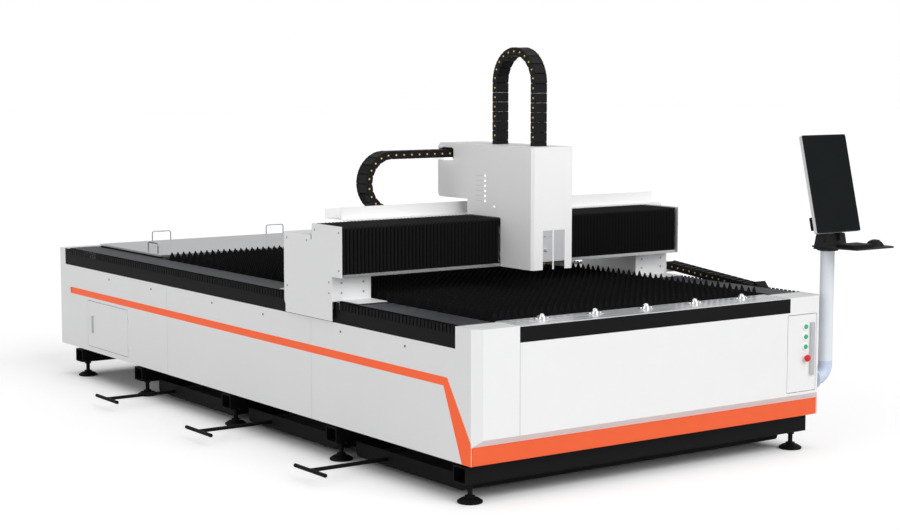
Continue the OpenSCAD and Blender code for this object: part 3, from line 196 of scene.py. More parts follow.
# Sizes of the chains, as in the part's source
CHAIN_T = 0.042
CHAIN_LIFT = 0.006
Y_CHAIN_R = 0.075
X_CHAIN_R = 0.147
Z_CHAIN_R = 0.166
X_CHAIN_RUN = 0.447

# Share of the motion meant for a chain's bend, handed on but not used
BEND_SHARE = 0.5

# Share of the head's motion at the end of the cross chain, and where the long chain meets the beam
X_END_SHARE = 0.955
Y_END_INSET = 0.1

# Core of a chain link, as shares of its length, width and thickness, and the least distance of two links
CORE_SHARES = (0.99, 0.9, 0.6)
LINK_APART = 0.005

# Rivets of the chains: depth in the link, share of the diameter at the tip, sides
RIVET_SINK = 0.0002
RIVET_TIP = 0.4
RIVET_SIDES = 12

# Thickness of a seam or slot that is laid on a panel
FILM = 0.0004

# Screws of the panels: distance from an edge, places along the sides, pitch across the rear and steps to
# each side of its middle, rear face
SCREW_MARGIN = 0.04
SIDE_SCREWS_Y = (1.548, 0.957, 0.182, -0.4, -1.187, -1.766)
REAR_SCREW_PITCH = 0.53
REAR_SCREW_STEPS = 2
REAR_FACE_Y = 2.3

# Seams: height of the front lip, places along the side, foot of the panel, heights of the stripe,
# gap to the rail guard
LIP_H = 0.036
SIDE_SEAMS_Y = (-0.9, 0.75)
PANEL_FOOT = 0.2
STRIPE_Z = (0.536, 0.584)
GUARD_GAP = 0.005

# Caps on the stripes' rear ends: thickness, lap over the stripe, reach past it
CAP_T = 0.003
CAP_LAP = 0.012
CAP_REACH = 0.006

# Grip of the side door, and how far it goes into the panel
GRIP_Y = (1.7955, 1.8015)
GRIP_Z = (0.316, 0.426)
GRIP_SINK = 0.001

# Bolts of the ball units: distance from the ball, foot, radius, height
BALL_COUNT = 5
BOLT_REACH = 0.033
BOLT_FOOT = 0.835
BOLT_R = 0.0065
BOLT_H = 0.005

# Screws of the leg covers: places along and up the sides, and on the fronts
LEG_SIDE_SCREWS = (
    (-1.115, 0.87), (-1.115, 0.925), (-0.7, 0.87), (-0.7, 1.12),
    (-0.9, 1.12), (-1.21, 0.99), (-1.21, 1.18), (-0.98, 1.18),
)
LEG_FRONT_X = (-1.08, -0.95, 0.91, 1.05)
LEG_FRONT_Y = -1.142
LEG_FRONT_Z = (0.87, 0.92)

# How much higher the cross chain tray's front wall is than its rear wall, and the depth of its edge
TRAY_RAISE = 0.015
TRAY_EDGE = 0.001

# Marks on the head cover's sides: rows, then the dots, which glow with painted light, the slots beside
# them, grey films of painted shade, and the plugs in the cover's holes
MARK_ROWS = 6
MARK_LOW = 1.29
MARK_PITCH = 0.027
DOT_Y = -1.098
DOT_R = 0.006
DOT_SINK = 0.002
LONE_DOT_YZ = (-1.18, 1.266)
LONE_DOT_R = 0.0055
SLOT_Y = (-1.088, -1.013)
SLOT_H = 0.003
PLUG_Y = -1.143
PLUG_R = 0.0046
PLUG_SINK = 0.0025
PLUG_L = 0.0026

# Bracket under the end of the cross chain: length, height, gap round it
BRACKET_L = 0.056
BRACKET_H = 0.0125
BRACKET_GAP = 0.0005

# Height of the opening under the window plates of the head cover
WINDOW_GAP = 0.042

# Screen, as in the part's source, in the frame of its leaning hinge
SCREEN_W = 0.324
SCREEN_H = 0.515
SCREEN_LOW = -0.018
SCREEN_FRONT = -0.034
SCREEN_CORNER = 0.009
SCREEN_LEAN = 14

# Rim round the screen, and the box behind its lower corner
RIM_W = 0.006
RIM_RISE = 0.0006
REAR_BOX_X = (-0.13, -0.064)
REAR_BOX_Y = (SCREEN_FRONT + 0.0195, SCREEN_FRONT + 0.07)
REAR_BOX_Z = (0.006, 0.074)

# Keys: columns and rows, inset of the first, pitch, size, depth in the board and rise over it
KEY_COLUMNS = 10
KEY_ROWS = 5
KEY_INSET = (0.0065, 0.009)
KEY_PITCH = (0.0141, 0.0215)
KEY_SIZE = (0.0118, 0.018)
KEY_SINK = 0.001
KEY_RISE = 0.003

# Mouse wheel: radius, width, distance from the front of the mouse
WHEEL_R = 0.008
WHEEL_W = 0.008
WHEEL_Y = 0.024

# Louvres of the right side, dark strips of painted shade: lowest, pitch, height, reach along the bed,
# depth and rise
LOUVRE_LOW = 0.3
LOUVRE_PITCH = 0.03
LOUVRE_H = 0.01
LOUVRE_Y = (0.9, 1.5)
LOUVRE_SINK = 0.0005
LOUVRE_RISE = 0.0006

# Floor: half its side, tone, roughness
FLOOR_REACH = 60
FLOOR_TONE = 0.82
FLOOR_ROUGH = 0.9

# Glow of the floor, which fades out under the bed so that the shadow there stays deep: the real shadow
# shows through, and the bed's footprint where the glow stops is painted shade
FLOOR_GLOW = 0.4
SHADE_X = 1.07
SHADE_Y = 2.19
SHADE_EDGE = 0.12

# Lamps: name, strength, way that the light goes; then their spread in degrees and their distance
LAMPS = (
    ("front_light", 1.62, (-0.18, 0.84, -0.5)),
    ("left_light", 0.8, (0.97, 0.1, -0.18)),
)
LAMP_SPREAD = 50
LAMP_AWAY = 8

# Soft light of the surround, and the tones that shiny pieces reflect from below to above
SURROUND_LIGHT = 0.47
SHINE_STEPS = ((0.0, 0.4), (0.5, 0.85), (0.57, 0.85), (0.62, 0.2), (0.74, 0.2), (0.8, 1.0))

materials = {}


def build_material(name, colour):
    """A procedural finish: mottled colour, varied roughness and a fine bump."""
    finish = FINISHES[name]
    mat = bpy.data.materials.new(name)
    mat.use_nodes = True
    nodes = mat.node_tree.nodes
    links = mat.node_tree.links
    shader = nodes["Principled BSDF"]
    shader.inputs["Metallic"].default_value = finish.metal
    shader.inputs["Specular IOR Level"].default_value = finish.gloss
    coords = nodes.new("ShaderNodeTexCoord")
    mapping = nodes.new("ShaderNodeMapping")
    mapping.inputs["Scale"].default_value = finish.grain
    noise = nodes.new("ShaderNodeTexNoise")
    noise.inputs["Scale"].default_value = 1.0
    noise.inputs["Detail"].default_value = GRAIN_DETAIL
    mix = nodes.new("ShaderNodeMix")
    mix.data_type = "RGBA"
    mix.inputs[MIX_FIRST].default_value = (*[c * (1 - finish.mottle) for c in colour], 1)
    mix.inputs[MIX_SECOND].default_value = (*[min(1, c * (1 + finish.mottle)) for c in colour], 1)
    spread = nodes.new("ShaderNodeMapRange")
    spread.inputs["To Min"].default_value = max(LEAST_ROUGH, finish.rough - ROUGH_SPREAD)
    spread.inputs["To Max"].default_value = finish.rough + ROUGH_SPREAD
    links.new(coords.outputs["Object"], mapping.inputs["Vector"])
    links.new(mapping.outputs["Vector"], noise.inputs["Vector"])
    links.new(noise.outputs["Fac"], mix.inputs[MIX_FACTOR])
    links.new(mix.outputs[MIX_RESULT], shader.inputs["Base Color"])
    links.new(noise.outputs["Fac"], spread.inputs["Value"])
    links.new(spread.outputs["Result"], shader.inputs["Roughness"])
    # Painted light: a finish that glows though it is no lamp
    if name in PAINTED_GLOWS:
        shader.inputs["Emission Color"].default_value = (*colour, 1)
        shader.inputs["Emission Strength"].default_value = PAINTED_GLOWS[name]
    # Painted shade in the valleys of the folds
    if name in PAINTED_FOLD_SHADE:
        paint_fold_shade(nodes, links, mix.outputs[MIX_RESULT], shader, PAINTED_FOLD_SHADE[name])
    if name in FADES:
        add_fade(nodes, links, coords, mix.outputs[MIX_RESULT], shader, FADES[name])
    if finish.bump:
        relief = nodes.new("ShaderNodeBump")
        relief.inputs["Strength"].default_value = finish.bump
        relief.inputs["Distance"].default_value = BUMP_DEPTH
        links.new(noise.outputs["Fac"], relief.inputs["Height"])
        links.new(relief.outputs["Normal"], shader.inputs["Normal"])
    return mat


def add_fade(nodes, links, coords, upper, shader, fade):
    """Changes a finish to another colour below a height."""
    lower, height, width = fade
    split = nodes.new("ShaderNodeSeparateXYZ")
    level = nodes.new("ShaderNodeMapRange")
    level.inputs["From Min"].default_value = height - width / 2
    level.inputs["From Max"].default_value = height + width / 2
    links.new(coords.outputs["Object"], split.inputs["Vector"])
    links.new(split.outputs["Z"], level.inputs["Value"])
    mix_in(nodes, links, lower, upper, level, shader)


def paint_fold_shade(nodes, links, cloth, shader, valley):
    """Paints shade into the valleys of a pleated finish's folds."""
    colour, reach = valley
    fold = nodes.new("ShaderNodeAttribute")
    fold.attribute_name = RIDGE_LAYER
    level = nodes.new("ShaderNodeMapRange")
    level.inputs["From Max"].default_value = reach
    links.new(fold.outputs["Fac"], level.inputs["Value"])
    mix_in(nodes, links, colour, cloth, level, shader)


def mix_in(nodes, links, plain_colour, finish, level, shader):
    """Shows a plain colour where a level is 0 and the finish where it is 1."""
    both = nodes.new("ShaderNodeMix")
    both.data_type = "RGBA"
    both.inputs[MIX_FIRST].default_value = (*plain_colour, 1)
    links.new(level.outputs["Result"], both.inputs[MIX_FACTOR])
    links.new(finish, both.inputs[MIX_SECOND])
    links.new(both.outputs[MIX_RESULT], shader.inputs["Base Color"])


def mark_ridges(bm):
    """Stores how far out each point of a pleated mesh lies, 0 in a valley and 1 on a ridge, as the mask
    of the painted fold shade.
    """
    front = {}
    for vert in bm.verts:
        place = round(vert.co.x, RIDGE_DIGITS)
        front[place] = min(vert.co.y, front.get(place, vert.co.y))
    ridge = min(front.values())
    valley = max(front.values())
    layer = bm.verts.layers.float.new(RIDGE_LAYER)
    for vert in bm.verts:
        vert[layer] = (valley - front[round(vert.co.x, RIDGE_DIGITS)]) / (valley - ridge)


def finish_of(node):
    """Name of the finish that a CAD node takes."""
    return next(name for name, nodes in NODE_FINISH.items() if node in nodes.split())


def joint_place(name):
    """Pivot of a joint, in metres."""
    return Vector(next(j["pos_m"] for j in frame["joints"] if j["name"] == name))


class Shape:
    """Collects boxes, rods and frames into one mesh."""

    def __init__(self, place=None):
        self.verts = []
        self.faces = []
        self.place = place or Matrix.Identity(4)

    def box(self, low, high):
        """Box between two corners."""
        first = len(self.verts)
        for x in (low[0], high[0]):
            for y in (low[1], high[1]):
                for z in (low[2], high[2]):
                    self.verts.append(self.place @ Vector((x, y, z)))
        sides = (0, 1, 3, 2), (4, 6, 7, 5), (0, 4, 5, 1), (2, 3, 7, 6), (0, 2, 6, 4), (1, 5, 7, 3)
        for face in sides:
            self.faces.append([first + i for i in face])

    def rod(self, base, axis, radius, length):
        """Cylinder from base along axis."""
        turn = Vector(axis).to_track_quat("Z", "Y").to_matrix().to_4x4()
        near = len(self.verts)
        far = near + ROD_SIDES
        for z in (0, length):
            for i in range(ROD_SIDES):
                a = 2 * math.pi * i / ROD_SIDES
                point = Vector(base) + turn @ Vector((radius * math.cos(a), radius * math.sin(a), z))
                self.verts.append(self.place @ point)
        for i in range(ROD_SIDES):
            j = (i + 1) % ROD_SIDES
            self.faces.append([near + i, near + j, far + j, far + i])
        self.faces.append([near + i for i in reversed(range(ROD_SIDES))])
        self.faces.append([far + i for i in range(ROD_SIDES)])

    def frame(self, width, height, low, corner, rim, y0, y1):
        """Upright frame with rounded corners between y0 and y1."""
        first = len(self.verts)
        count = 0
        for inset, y in ((0, y0), (rim, y0), (0, y1), (rim, y1)):
            r = corner - inset * CORNER_LOSS
            points = []
            for k, (sx, sz) in enumerate(((1, 1), (-1, 1), (-1, -1), (1, -1))):
                cx = sx * (width / 2 - inset - r)
                cz = low + height / 2 + sz * (height / 2 - inset - r)
                for i in range(ARC_STEPS + 1):
                    a = math.radians(90 * (k + i / ARC_STEPS))
                    points.append(Vector((cx + r * math.cos(a), y, cz + r * math.sin(a))))
            count = len(points)
            self.verts.extend(self.place @ p for p in points)
        for i in range(count):
            j = (i + 1) % count
            for a, b in ((0, 1), (3, 2), (2, 0), (1, 3)):
                near = first + a * count
                far = first + b * count
                self.faces.append([near + i, near + j, far + j, far + i])

    def make(self, name, finish, body):
        """Object of the collected shapes that rides on a body."""
        mesh = bpy.data.meshes.new(name)
        mesh.from_pydata([tuple(v) for v in self.verts], [], self.faces)
        mesh.materials.append(materials[finish])
        mesh.update()
        piece = bpy.data.objects.new(name, mesh)
        bpy.context.scene.collection.objects.link(piece)
        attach(piece, body)


def islands(bm):
    """Separate solids of a mesh as lists of faces."""
    left = set(bm.faces)
    groups = []
    while left:
        stack = [left.pop()]
        group = []
        while stack:
            face = stack.pop()
            group.append(face)
            for edge in face.edges:
                for other in edge.link_faces:
                    if other in left:
                        left.remove(other)
                        stack.append(other)
        groups.append(group)
    return groups


def middle_of(faces):
    """Middle of the box round some faces."""
    points = [v.co for f in faces for v in f.verts]
    low = Vector([min(p[i] for p in points) for i in range(3)])
    high = Vector([max(p[i] for p in points) for i in range(3)])
    return (low + high) / 2


def free_piece(name, bm, finishes):
    """Object of a bmesh that isn't on a body yet, for pieces redrawn from the CAD."""
    mesh = bpy.data.meshes.new(name)
    bm.to_mesh(mesh)
    bm.free()
    for finish in finishes:
        mesh.materials.append(materials[finish])
    piece = bpy.data.objects.new(name, mesh)
    bpy.context.scene.collection.objects.link(piece)
    return piece


def welded_copy(node):
    """Copy of a CAD node's mesh with its corner points joined."""
    bm = bmesh.new()
    bm.from_mesh(frame["nodes"][node].data)
    bmesh.ops.remove_doubles(bm, verts=bm.verts, dist=WELD)
    for face in bm.faces:
        face.material_index = 0
        face.smooth = False
    return bm


def cut_away(bm, place, out):
    """Cuts off what lies beyond a plane and gives back the edges of the cut."""
    whole = bm.verts[:] + bm.edges[:] + bm.faces[:]
    cut = bmesh.ops.bisect_plane(bm, geom=whole, plane_co=place, plane_no=out, clear_outer=True)
    return [part for part in cut["geom_cut"] if isinstance(part, bmesh.types.BMEdge)]


def blend_span(piece, still, moving, first, last, w_first, w_last):
    """Bakes a piece's placement into its mesh; its share of the motion, w_first to w_last, is not used.
    """
    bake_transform(piece)


def chain_part(node, name, wanted, width_axis, look):
    """The links of a cable chain whose middles are wanted, with cores and rivets, as one object."""
    low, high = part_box(node)
    centre = (low[width_axis] + high[width_axis]) / 2
    half_width = (high[width_axis] - low[width_axis]) / 2
    bm = welded_copy(node)
    groups = islands(bm)
    keep = [g for g in groups if wanted(middle_of(g))]
    kept = {f for g in keep for f in g}
    middles = [middle_of(g) for g in groups]
    links = []
    for group in keep:
        spot = middle_of(group)
        gaps = [m - spot for m in middles if (m - spot).length > LINK_APART]
        along = min(gaps, key=lambda gap: gap.length).normalized()
        links.append((spot, along, [v.co.copy() for f in group for v in f.verts]))
    bmesh.ops.delete(bm, geom=[f for f in bm.faces if f not in kept], context="FACES")
    for spot, along, points in links:
        core_in(bm, spot, along, width_axis, points)
        spot[width_axis] = centre
        rivet_at(bm, spot, width_axis, half_width, look)
    return free_piece(name, bm, ("black_plastic", "gold_rivet"))


def core_in(bm, spot, along, width_axis, points):
    """Fills a chain link with a plain core, so that the link can't be seen through."""
    across = Vector([float(i == width_axis) for i in range(3)])
    ways = (along, across, along.cross(across))
    reach = []
    for way, share in zip(ways, CORE_SHARES):
        reach.append(share * max(abs((p - spot).dot(way)) for p in points))
    turn = Matrix(ways).transposed().to_4x4()
    size = Matrix.Diagonal((*[2 * r for r in reach], 1))
    bmesh.ops.create_cube(bm, size=1, matrix=Matrix.Translation(spot) @ turn @ size)


def rivet_at(bm, spot, width_axis, half_width, look):
    """Rivets on both sides of a chain at one link."""
    for side in (-1, 1):
        turn = Vector([side if i == width_axis else 0 for i in range(3)]).to_track_quat("Z", "Y")
        base = spot.copy()
        base[width_axis] += side * (half_width + look.rivet_rise / 2 - RIVET_SINK)
        made = bmesh.ops.create_cone(
            bm, cap_ends=True, segments=RIVET_SIDES, radius1=look.rivet_d / 2,
            radius2=look.rivet_d * RIVET_TIP, depth=look.rivet_rise,
            matrix=Matrix.Translation(base) @ turn.to_matrix().to_4x4())
        for vert in made["verts"]:
            for face in vert.link_faces:
                face.material_index = 1


class LaserLook(bpy.types.PropertyGroup):
    """Colours of the paint and sizes of the fittings that the picture model adds."""

    panel_colour: bpy.props.FloatVectorProperty(
        name="Panel paint", description="Colour of the bed's white panels",
        default=FINISHES["white_paint"].colour, min=0, max=1, subtype="COLOR")
    band_colour: bpy.props.FloatVectorProperty(
        name="Band paint", description="Colour of the kick band",
        default=FINISHES["orange_paint"].colour, min=0, max=1, subtype="COLOR")
    rivet_d: bpy.props.FloatProperty(
        name="Chain rivet", description="Diameter of a cable chain's rivet", default=0.011,
        unit="LENGTH")
    rivet_rise: bpy.props.FloatProperty(
        name="Rivet rise", description="How far a rivet stands out", default=0.0012, unit="LENGTH")
    screw_d: bpy.props.FloatProperty(
        name="Panel screw", description="Diameter of a panel screw's head", default=0.012,
        unit="LENGTH")
    screw_rise: bpy.props.FloatProperty(
        name="Screw rise", description="How far a screw head stands out", default=0.0015,
        unit="LENGTH")
    seam_w: bpy.props.FloatProperty(
        name="Panel seam", description="Width of a panel seam", default=0.003, unit="LENGTH")
    bellows_parts: bpy.props.IntProperty(
        name="Bellows parts", description="Lengths that share out a bellows' folding", default=10, min=4)
    end_share: bpy.props.FloatProperty(
        name="End share", description="Share of the motion taken by a bellows' end length", default=0.058,
        subtype="FACTOR")
    slot_rows: bpy.props.IntProperty(
        name="Louvres", description="Louvre slots in the right side panel", default=7, min=1)


class LASER_OT_finishes(bpy.types.Operator):
    """Gives every CAD node its finish"""

    bl_idname = "laser.finishes"
    bl_label = "Finish the CAD Pieces"

    def execute(self, context):
        look = context.scene.laser_look
        chosen = {"white_paint": look.panel_colour, "orange_paint": look.band_colour}
        for name, finish in FINISHES.items():
            materials[name] = build_material(name, chosen.get(name, finish.colour))
        for node, obj in frame["nodes"].items():
            obj.data.materials.clear()
            obj.data.materials.append(materials[finish_of(node)])
        return {"FINISHED"}


class LASER_OT_y_chain(bpy.types.Operator):
    """Builds the long cable chain beside the bed from the CAD chain's links"""

    bl_idname = "laser.y_chain"
    bl_label = "Long Cable Chain"

    def execute(self, context):
        look = context.scene.laser_look
        low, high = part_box("y_chain")
        loop_y = low.y + Y_CHAIN_R + CHAIN_T / 2
        loop_z = low.z + CHAIN_LIFT + Y_CHAIN_R + CHAIN_T / 2
        loop = (0, loop_y, 0)
        beam = (0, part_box("gantry_beam")[0].y + Y_END_INSET, 0)
        run = chain_part(
            "y_chain", "y_chain_upper", lambda p: p.y > loop_y and p.z > loop_z, X_AXIS, look)
        blend_span(run, "bed", "gantry", loop, beam, BEND_SHARE, 1.0)
        bend = chain_part("y_chain", "y_chain_loop", lambda p: p.y <= loop_y, X_AXIS, look)
        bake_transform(bend)
        rest = chain_part(
            "y_chain", "y_chain_lower", lambda p: p.y > loop_y and p.z <= loop_z, X_AXIS, look)
        blend_span(rest, "bed", "gantry", (0, high.y, 0), loop, 0.0, BEND_SHARE)
        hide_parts("y_chain")
        return {"FINISHED"}


class LASER_OT_x_chain(bpy.types.Operator):
    """Builds the cable chain behind the beam from the CAD chain's links"""

    bl_idname = "laser.x_chain"
    bl_label = "Cross Cable Chain"

    def execute(self, context):
        look = context.scene.laser_look
        low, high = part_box("x_chain")
        loop_x = low.x + X_CHAIN_R + CHAIN_T / 2
        loop_z = low.z + CHAIN_LIFT + X_CHAIN_R + CHAIN_T / 2
        loop = (loop_x, 0, 0)
        tail = (loop_x + X_CHAIN_RUN, 0, 0)
        run = chain_part(
            "x_chain", "x_chain_upper", lambda p: p.x > loop_x and p.z > loop_z, Y_AXIS, look)
        blend_span(run, "gantry", "head", loop, tail, BEND_SHARE, X_END_SHARE)
        bend = chain_part("x_chain", "x_chain_loop", lambda p: p.x <= loop_x, Y_AXIS, look)
        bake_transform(bend)
        rest = chain_part(
            "x_chain", "x_chain_lower", lambda p: p.x > loop_x and p.z <= loop_z, Y_AXIS, look)
        blend_span(rest, "gantry", "head", (high.x, 0, 0), loop, 0.0, BEND_SHARE)
        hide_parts("x_chain")
        return {"FINISHED"}


class LASER_OT_z_chain(bpy.types.Operator):
    """Builds the upright cable chain over the head from the CAD chain's links"""

    bl_idname = "laser.z_chain"
    bl_label = "Upright Cable Chain"

    def execute(self, context):
        look = context.scene.laser_look
        low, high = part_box("z_chain")
        loop_y = (low.y + high.y) / 2
        loop_z = high.z - Z_CHAIN_R - CHAIN_T / 2
        loop = (0, 0, loop_z)
        foot = (0, 0, low.z)
        front = chain_part(
            "z_chain", "z_chain_front", lambda p: p.z < loop_z and p.y < loop_y, X_AXIS, look)
        blend_span(front, "head", "z_slide", loop, foot, BEND_SHARE, 1.0)
        bend = chain_part("z_chain", "z_chain_loop", lambda p: p.z >= loop_z, X_AXIS, look)
        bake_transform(bend)
        back = chain_part(
            "z_chain", "z_chain_rear", lambda p: p.z < loop_z and p.y >= loop_y, X_AXIS, look)
        blend_span(back, "head", "z_slide", foot, loop, 0.0, BEND_SHARE)
        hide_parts("z_chain")
        return {"FINISHED"}


class LASER_OT_bellows(bpy.types.Operator):
    """Builds both bellows in lengths cut from the CAD bellows"""

    bl_idname = "laser.bellows"
    bl_label = "Bellows"

    def execute(self, context):
        look = context.scene.laser_look
        for node, outer, inner in (("bellows_left", 0, 1), ("bellows_right", 1, 0)):
            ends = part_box(node)
            x_out = ends[outer].x
            x_in = ends[inner].x
            for i in range(look.bellows_parts):
                self.length(node, i, x_out, x_in, look)
        return {"FINISHED"}

    @staticmethod
    def share(i, look):
        """Share of the head's motion at the end of a length."""
        last = look.bellows_parts
        if i in (0, last):
            return i / last
        return look.end_share + (i - 1) / (last - 2) * (1 - 2 * look.end_share)

    def length(self, node, i, x_out, x_in, look):
        """One length of a bellows; its share of the head's motion is worked out but not applied."""
        first = x_out + (x_in - x_out) * i / look.bellows_parts
        end = x_out + (x_in - x_out) * (i + 1) / look.bellows_parts
        bm = welded_copy(node)
        mark_ridges(bm)
        for x, side in ((min(first, end), -1), (max(first, end), 1)):
            cut_away(bm, (x, 0, 0), (side, 0, 0))
        piece = free_piece(f"{node}_{i + 1}", bm, ("bellows_cloth",))
        shares = self.share(i, look), self.share(i + 1, look)
        blend_span(piece, "gantry", "head", (first, 0, 0), (end, 0, 0), *shares)
        if i == 0:
            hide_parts(node)


class LASER_OT_panel_fittings(bpy.types.Operator):
    """Adds screws, seams, stripe caps and the side door's grip to the bed's panels"""

    bl_idname = "laser.panel_fittings"
    bl_label = "Panel Fittings"

    def execute(self, context):
        look = context.scene.laser_look
        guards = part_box("rail_guards")
        self.screws(look, guards)
        self.seams(look, guards[0])
        self.caps()
        self.grip(guards[0])
        return {"FINISHED"}

    @staticmethod
    def screws(look, guards):
        """Screws under the rail guards and along the rear panel's edges."""
        screws = Shape()
        for side, guard in zip((-1, 1), guards):
            for y in SIDE_SCREWS_Y:
                place = (guard.x, y, guards[0].z - SCREW_MARGIN)
                screws.rod(place, (side, 0, 0), look.screw_d / 2, look.screw_rise)
        low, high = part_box("rear_panel")
        for i in range(-REAR_SCREW_STEPS, REAR_SCREW_STEPS + 1):
            for z in (low.z + SCREW_MARGIN, high.z - SCREW_MARGIN):
                place = (i * REAR_SCREW_PITCH, REAR_FACE_Y, z)
                screws.rod(place, (0, 1, 0), look.screw_d / 2, look.screw_rise)
        screws.make("panel_screws", "screw_grey", "bed")

    @staticmethod
    def seams(look, guard):
        """Seam below the front strip's end and upright seams in the left side, open at the stripe."""
        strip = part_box("front_strip")[0]
        lip_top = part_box("front_cover")[0].z + LIP_H
        seams = Shape()
        seams.box((strip.x, strip.y - FILM, lip_top), (strip.x + look.seam_w, strip.y, strip.z))
        for y in SIDE_SEAMS_Y:
            for low, high in ((PANEL_FOOT, STRIPE_Z[0]), (STRIPE_Z[1], guard.z - GUARD_GAP)):
                seams.box((guard.x - FILM, y, low), (guard.x, y + look.seam_w / 2, high))
        seams.make("panel_seams", "seam_grey", "bed")

    @staticmethod
    def caps():
        """White caps on the rear ends of the stripes."""
        low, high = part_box("side_stripes")
        caps = Shape()
        for x in (low.x, high.x - CAP_T):
            caps.box((x, high.y - CAP_LAP, STRIPE_Z[0]), (x + CAP_T, high.y + CAP_REACH, STRIPE_Z[1]))
        caps.make("stripe_caps", "bright_white", "bed")

    @staticmethod
    def grip(guard):
        """Upright grip on the side door."""
        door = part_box("side_door")[0]
        grip = Shape()
        grip.box((door.x, GRIP_Y[0], GRIP_Z[0]), (guard.x + GRIP_SINK, GRIP_Y[1], GRIP_Z[1]))
        grip.make("hatch_grip", "satin_grey", "hatch")


class LASER_OT_table_fittings(bpy.types.Operator):
    """Adds the black bolts of the ball units"""

    bl_idname = "laser.table_fittings"
    bl_label = "Table Fittings"

    def execute(self, context):
        bolts = Shape()
        for i in range(BALL_COUNT):
            low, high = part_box(f"transfer_ball_{i + 1}")
            centre = (low + high) / 2
            for side in (-1, 1):
                foot = (centre.x + side * BOLT_REACH, centre.y, BOLT_FOOT)
                bolts.rod(foot, (0, 0, 1), BOLT_R, BOLT_H)
        bolts.make("ball_bolts", "black_paint", "bed")
        return {"FINISHED"}


class LASER_OT_gantry_fittings(bpy.types.Operator):
    """Adds the screws of the leg covers and the cross chain's tray"""

    bl_idname = "laser.gantry_fittings"
    bl_label = "Gantry Fittings"

    def execute(self, context):
        look = context.scene.laser_look
        low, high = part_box("leg_covers")
        screws = Shape()
        for y, z in LEG_SIDE_SCREWS:
            screws.rod((low.x, y, z), (-1, 0, 0), look.screw_d / 2, look.screw_rise)
            screws.rod((high.x, y, z), (1, 0, 0), look.screw_d / 2, look.screw_rise)
        for x in LEG_FRONT_X:
            for z in LEG_FRONT_Z:
                screws.rod((x, LEG_FRONT_Y, z), (0, -1, 0), look.screw_d / 2, look.screw_rise)
        screws.make("leg_screws", "pale_screw", "gantry")
        self.tray()
        return {"FINISHED"}

    @staticmethod
    def tray():
        """Cross chain tray with a front wall that hides the chain."""
        low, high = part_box("chain_tray")
        middle = (low.y + high.y) / 2
        bm = welded_copy("chain_tray")
        for vert in bm.verts:
            if vert.co.z > high.z - TRAY_EDGE and vert.co.y < middle:
                vert.co.z += TRAY_RAISE
        tray = free_piece("cross_chain_tray", bm, ("bright_white",))
        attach(tray, "gantry")
        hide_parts("chain_tray")


class LASER_OT_head_fittings(bpy.types.Operator):
    """Adds the dots, slots and plugs of the head cover, its window plates and the chain's bracket"""

    bl_idname = "laser.head_fittings"
    bl_label = "Head Fittings"

    def execute(self, context):
        look = context.scene.laser_look
        low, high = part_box("head_cover")
        self.marks(look, low.x, high.x)
        self.windows(low.z + WINDOW_GAP)
        self.bracket(low.x)
        return {"FINISHED"}

    @staticmethod
    def marks(look, left, right):
        """Rows of a dot that glows with painted light, a slot of painted shade and a plug on both sides,
        and one dot apart.
        """
        dots = Shape()
        plugs = Shape()
        slots = Shape()
        for x, side in ((left, -1), (right, 1)):
            out = (side, 0, 0)
            faces = sorted((x, x + side * FILM))
            for k in range(MARK_ROWS):
                z = MARK_LOW + k * MARK_PITCH
                dots.rod((x - side * DOT_SINK, DOT_Y, z), out, DOT_R, DOT_SINK + look.screw_rise)
                plugs.rod((x - side * PLUG_SINK, PLUG_Y, z), out, PLUG_R, PLUG_L)
                # Each slot is a grey film on the cover: painted shade for the slot's hollow
                slots.box((faces[0], SLOT_Y[0], z - SLOT_H / 2),
                          (faces[1], SLOT_Y[1], z + SLOT_H / 2))
            dots.rod((x, *LONE_DOT_YZ), out, LONE_DOT_R, look.screw_rise)
        # The dots glow with painted light
        dots.make("head_screws", "painted_light_white", "head")
        plugs.make("head_plugs", "bright_white", "head")
        slots.make("head_slots", "gantry_paint", "head")

    @staticmethod
    def windows(edge):
        """Window plates that end above the opening in the cover's front."""
        bm = welded_copy("window_plates")
        bmesh.ops.holes_fill(bm, edges=cut_away(bm, (0, 0, edge), (0, 0, -1)))
        plates = free_piece("front_windows", bm, ("satin_grey",))
        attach(plates, "head")
        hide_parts("window_plates")

    @staticmethod
    def bracket(face):
        """White bracket beside the cover's face, under the end of the cross chain, glowing with painted
        light.
        """
        low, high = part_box("x_chain")
        under = low.z + CHAIN_LIFT + 2 * X_CHAIN_R
        bracket = Shape()
        bracket.box((face - BRACKET_L, low.y, under - BRACKET_H),
                    (face - BRACKET_GAP, high.y, under - BRACKET_GAP))
        bracket.make("chain_bracket", "painted_light_white", "head")


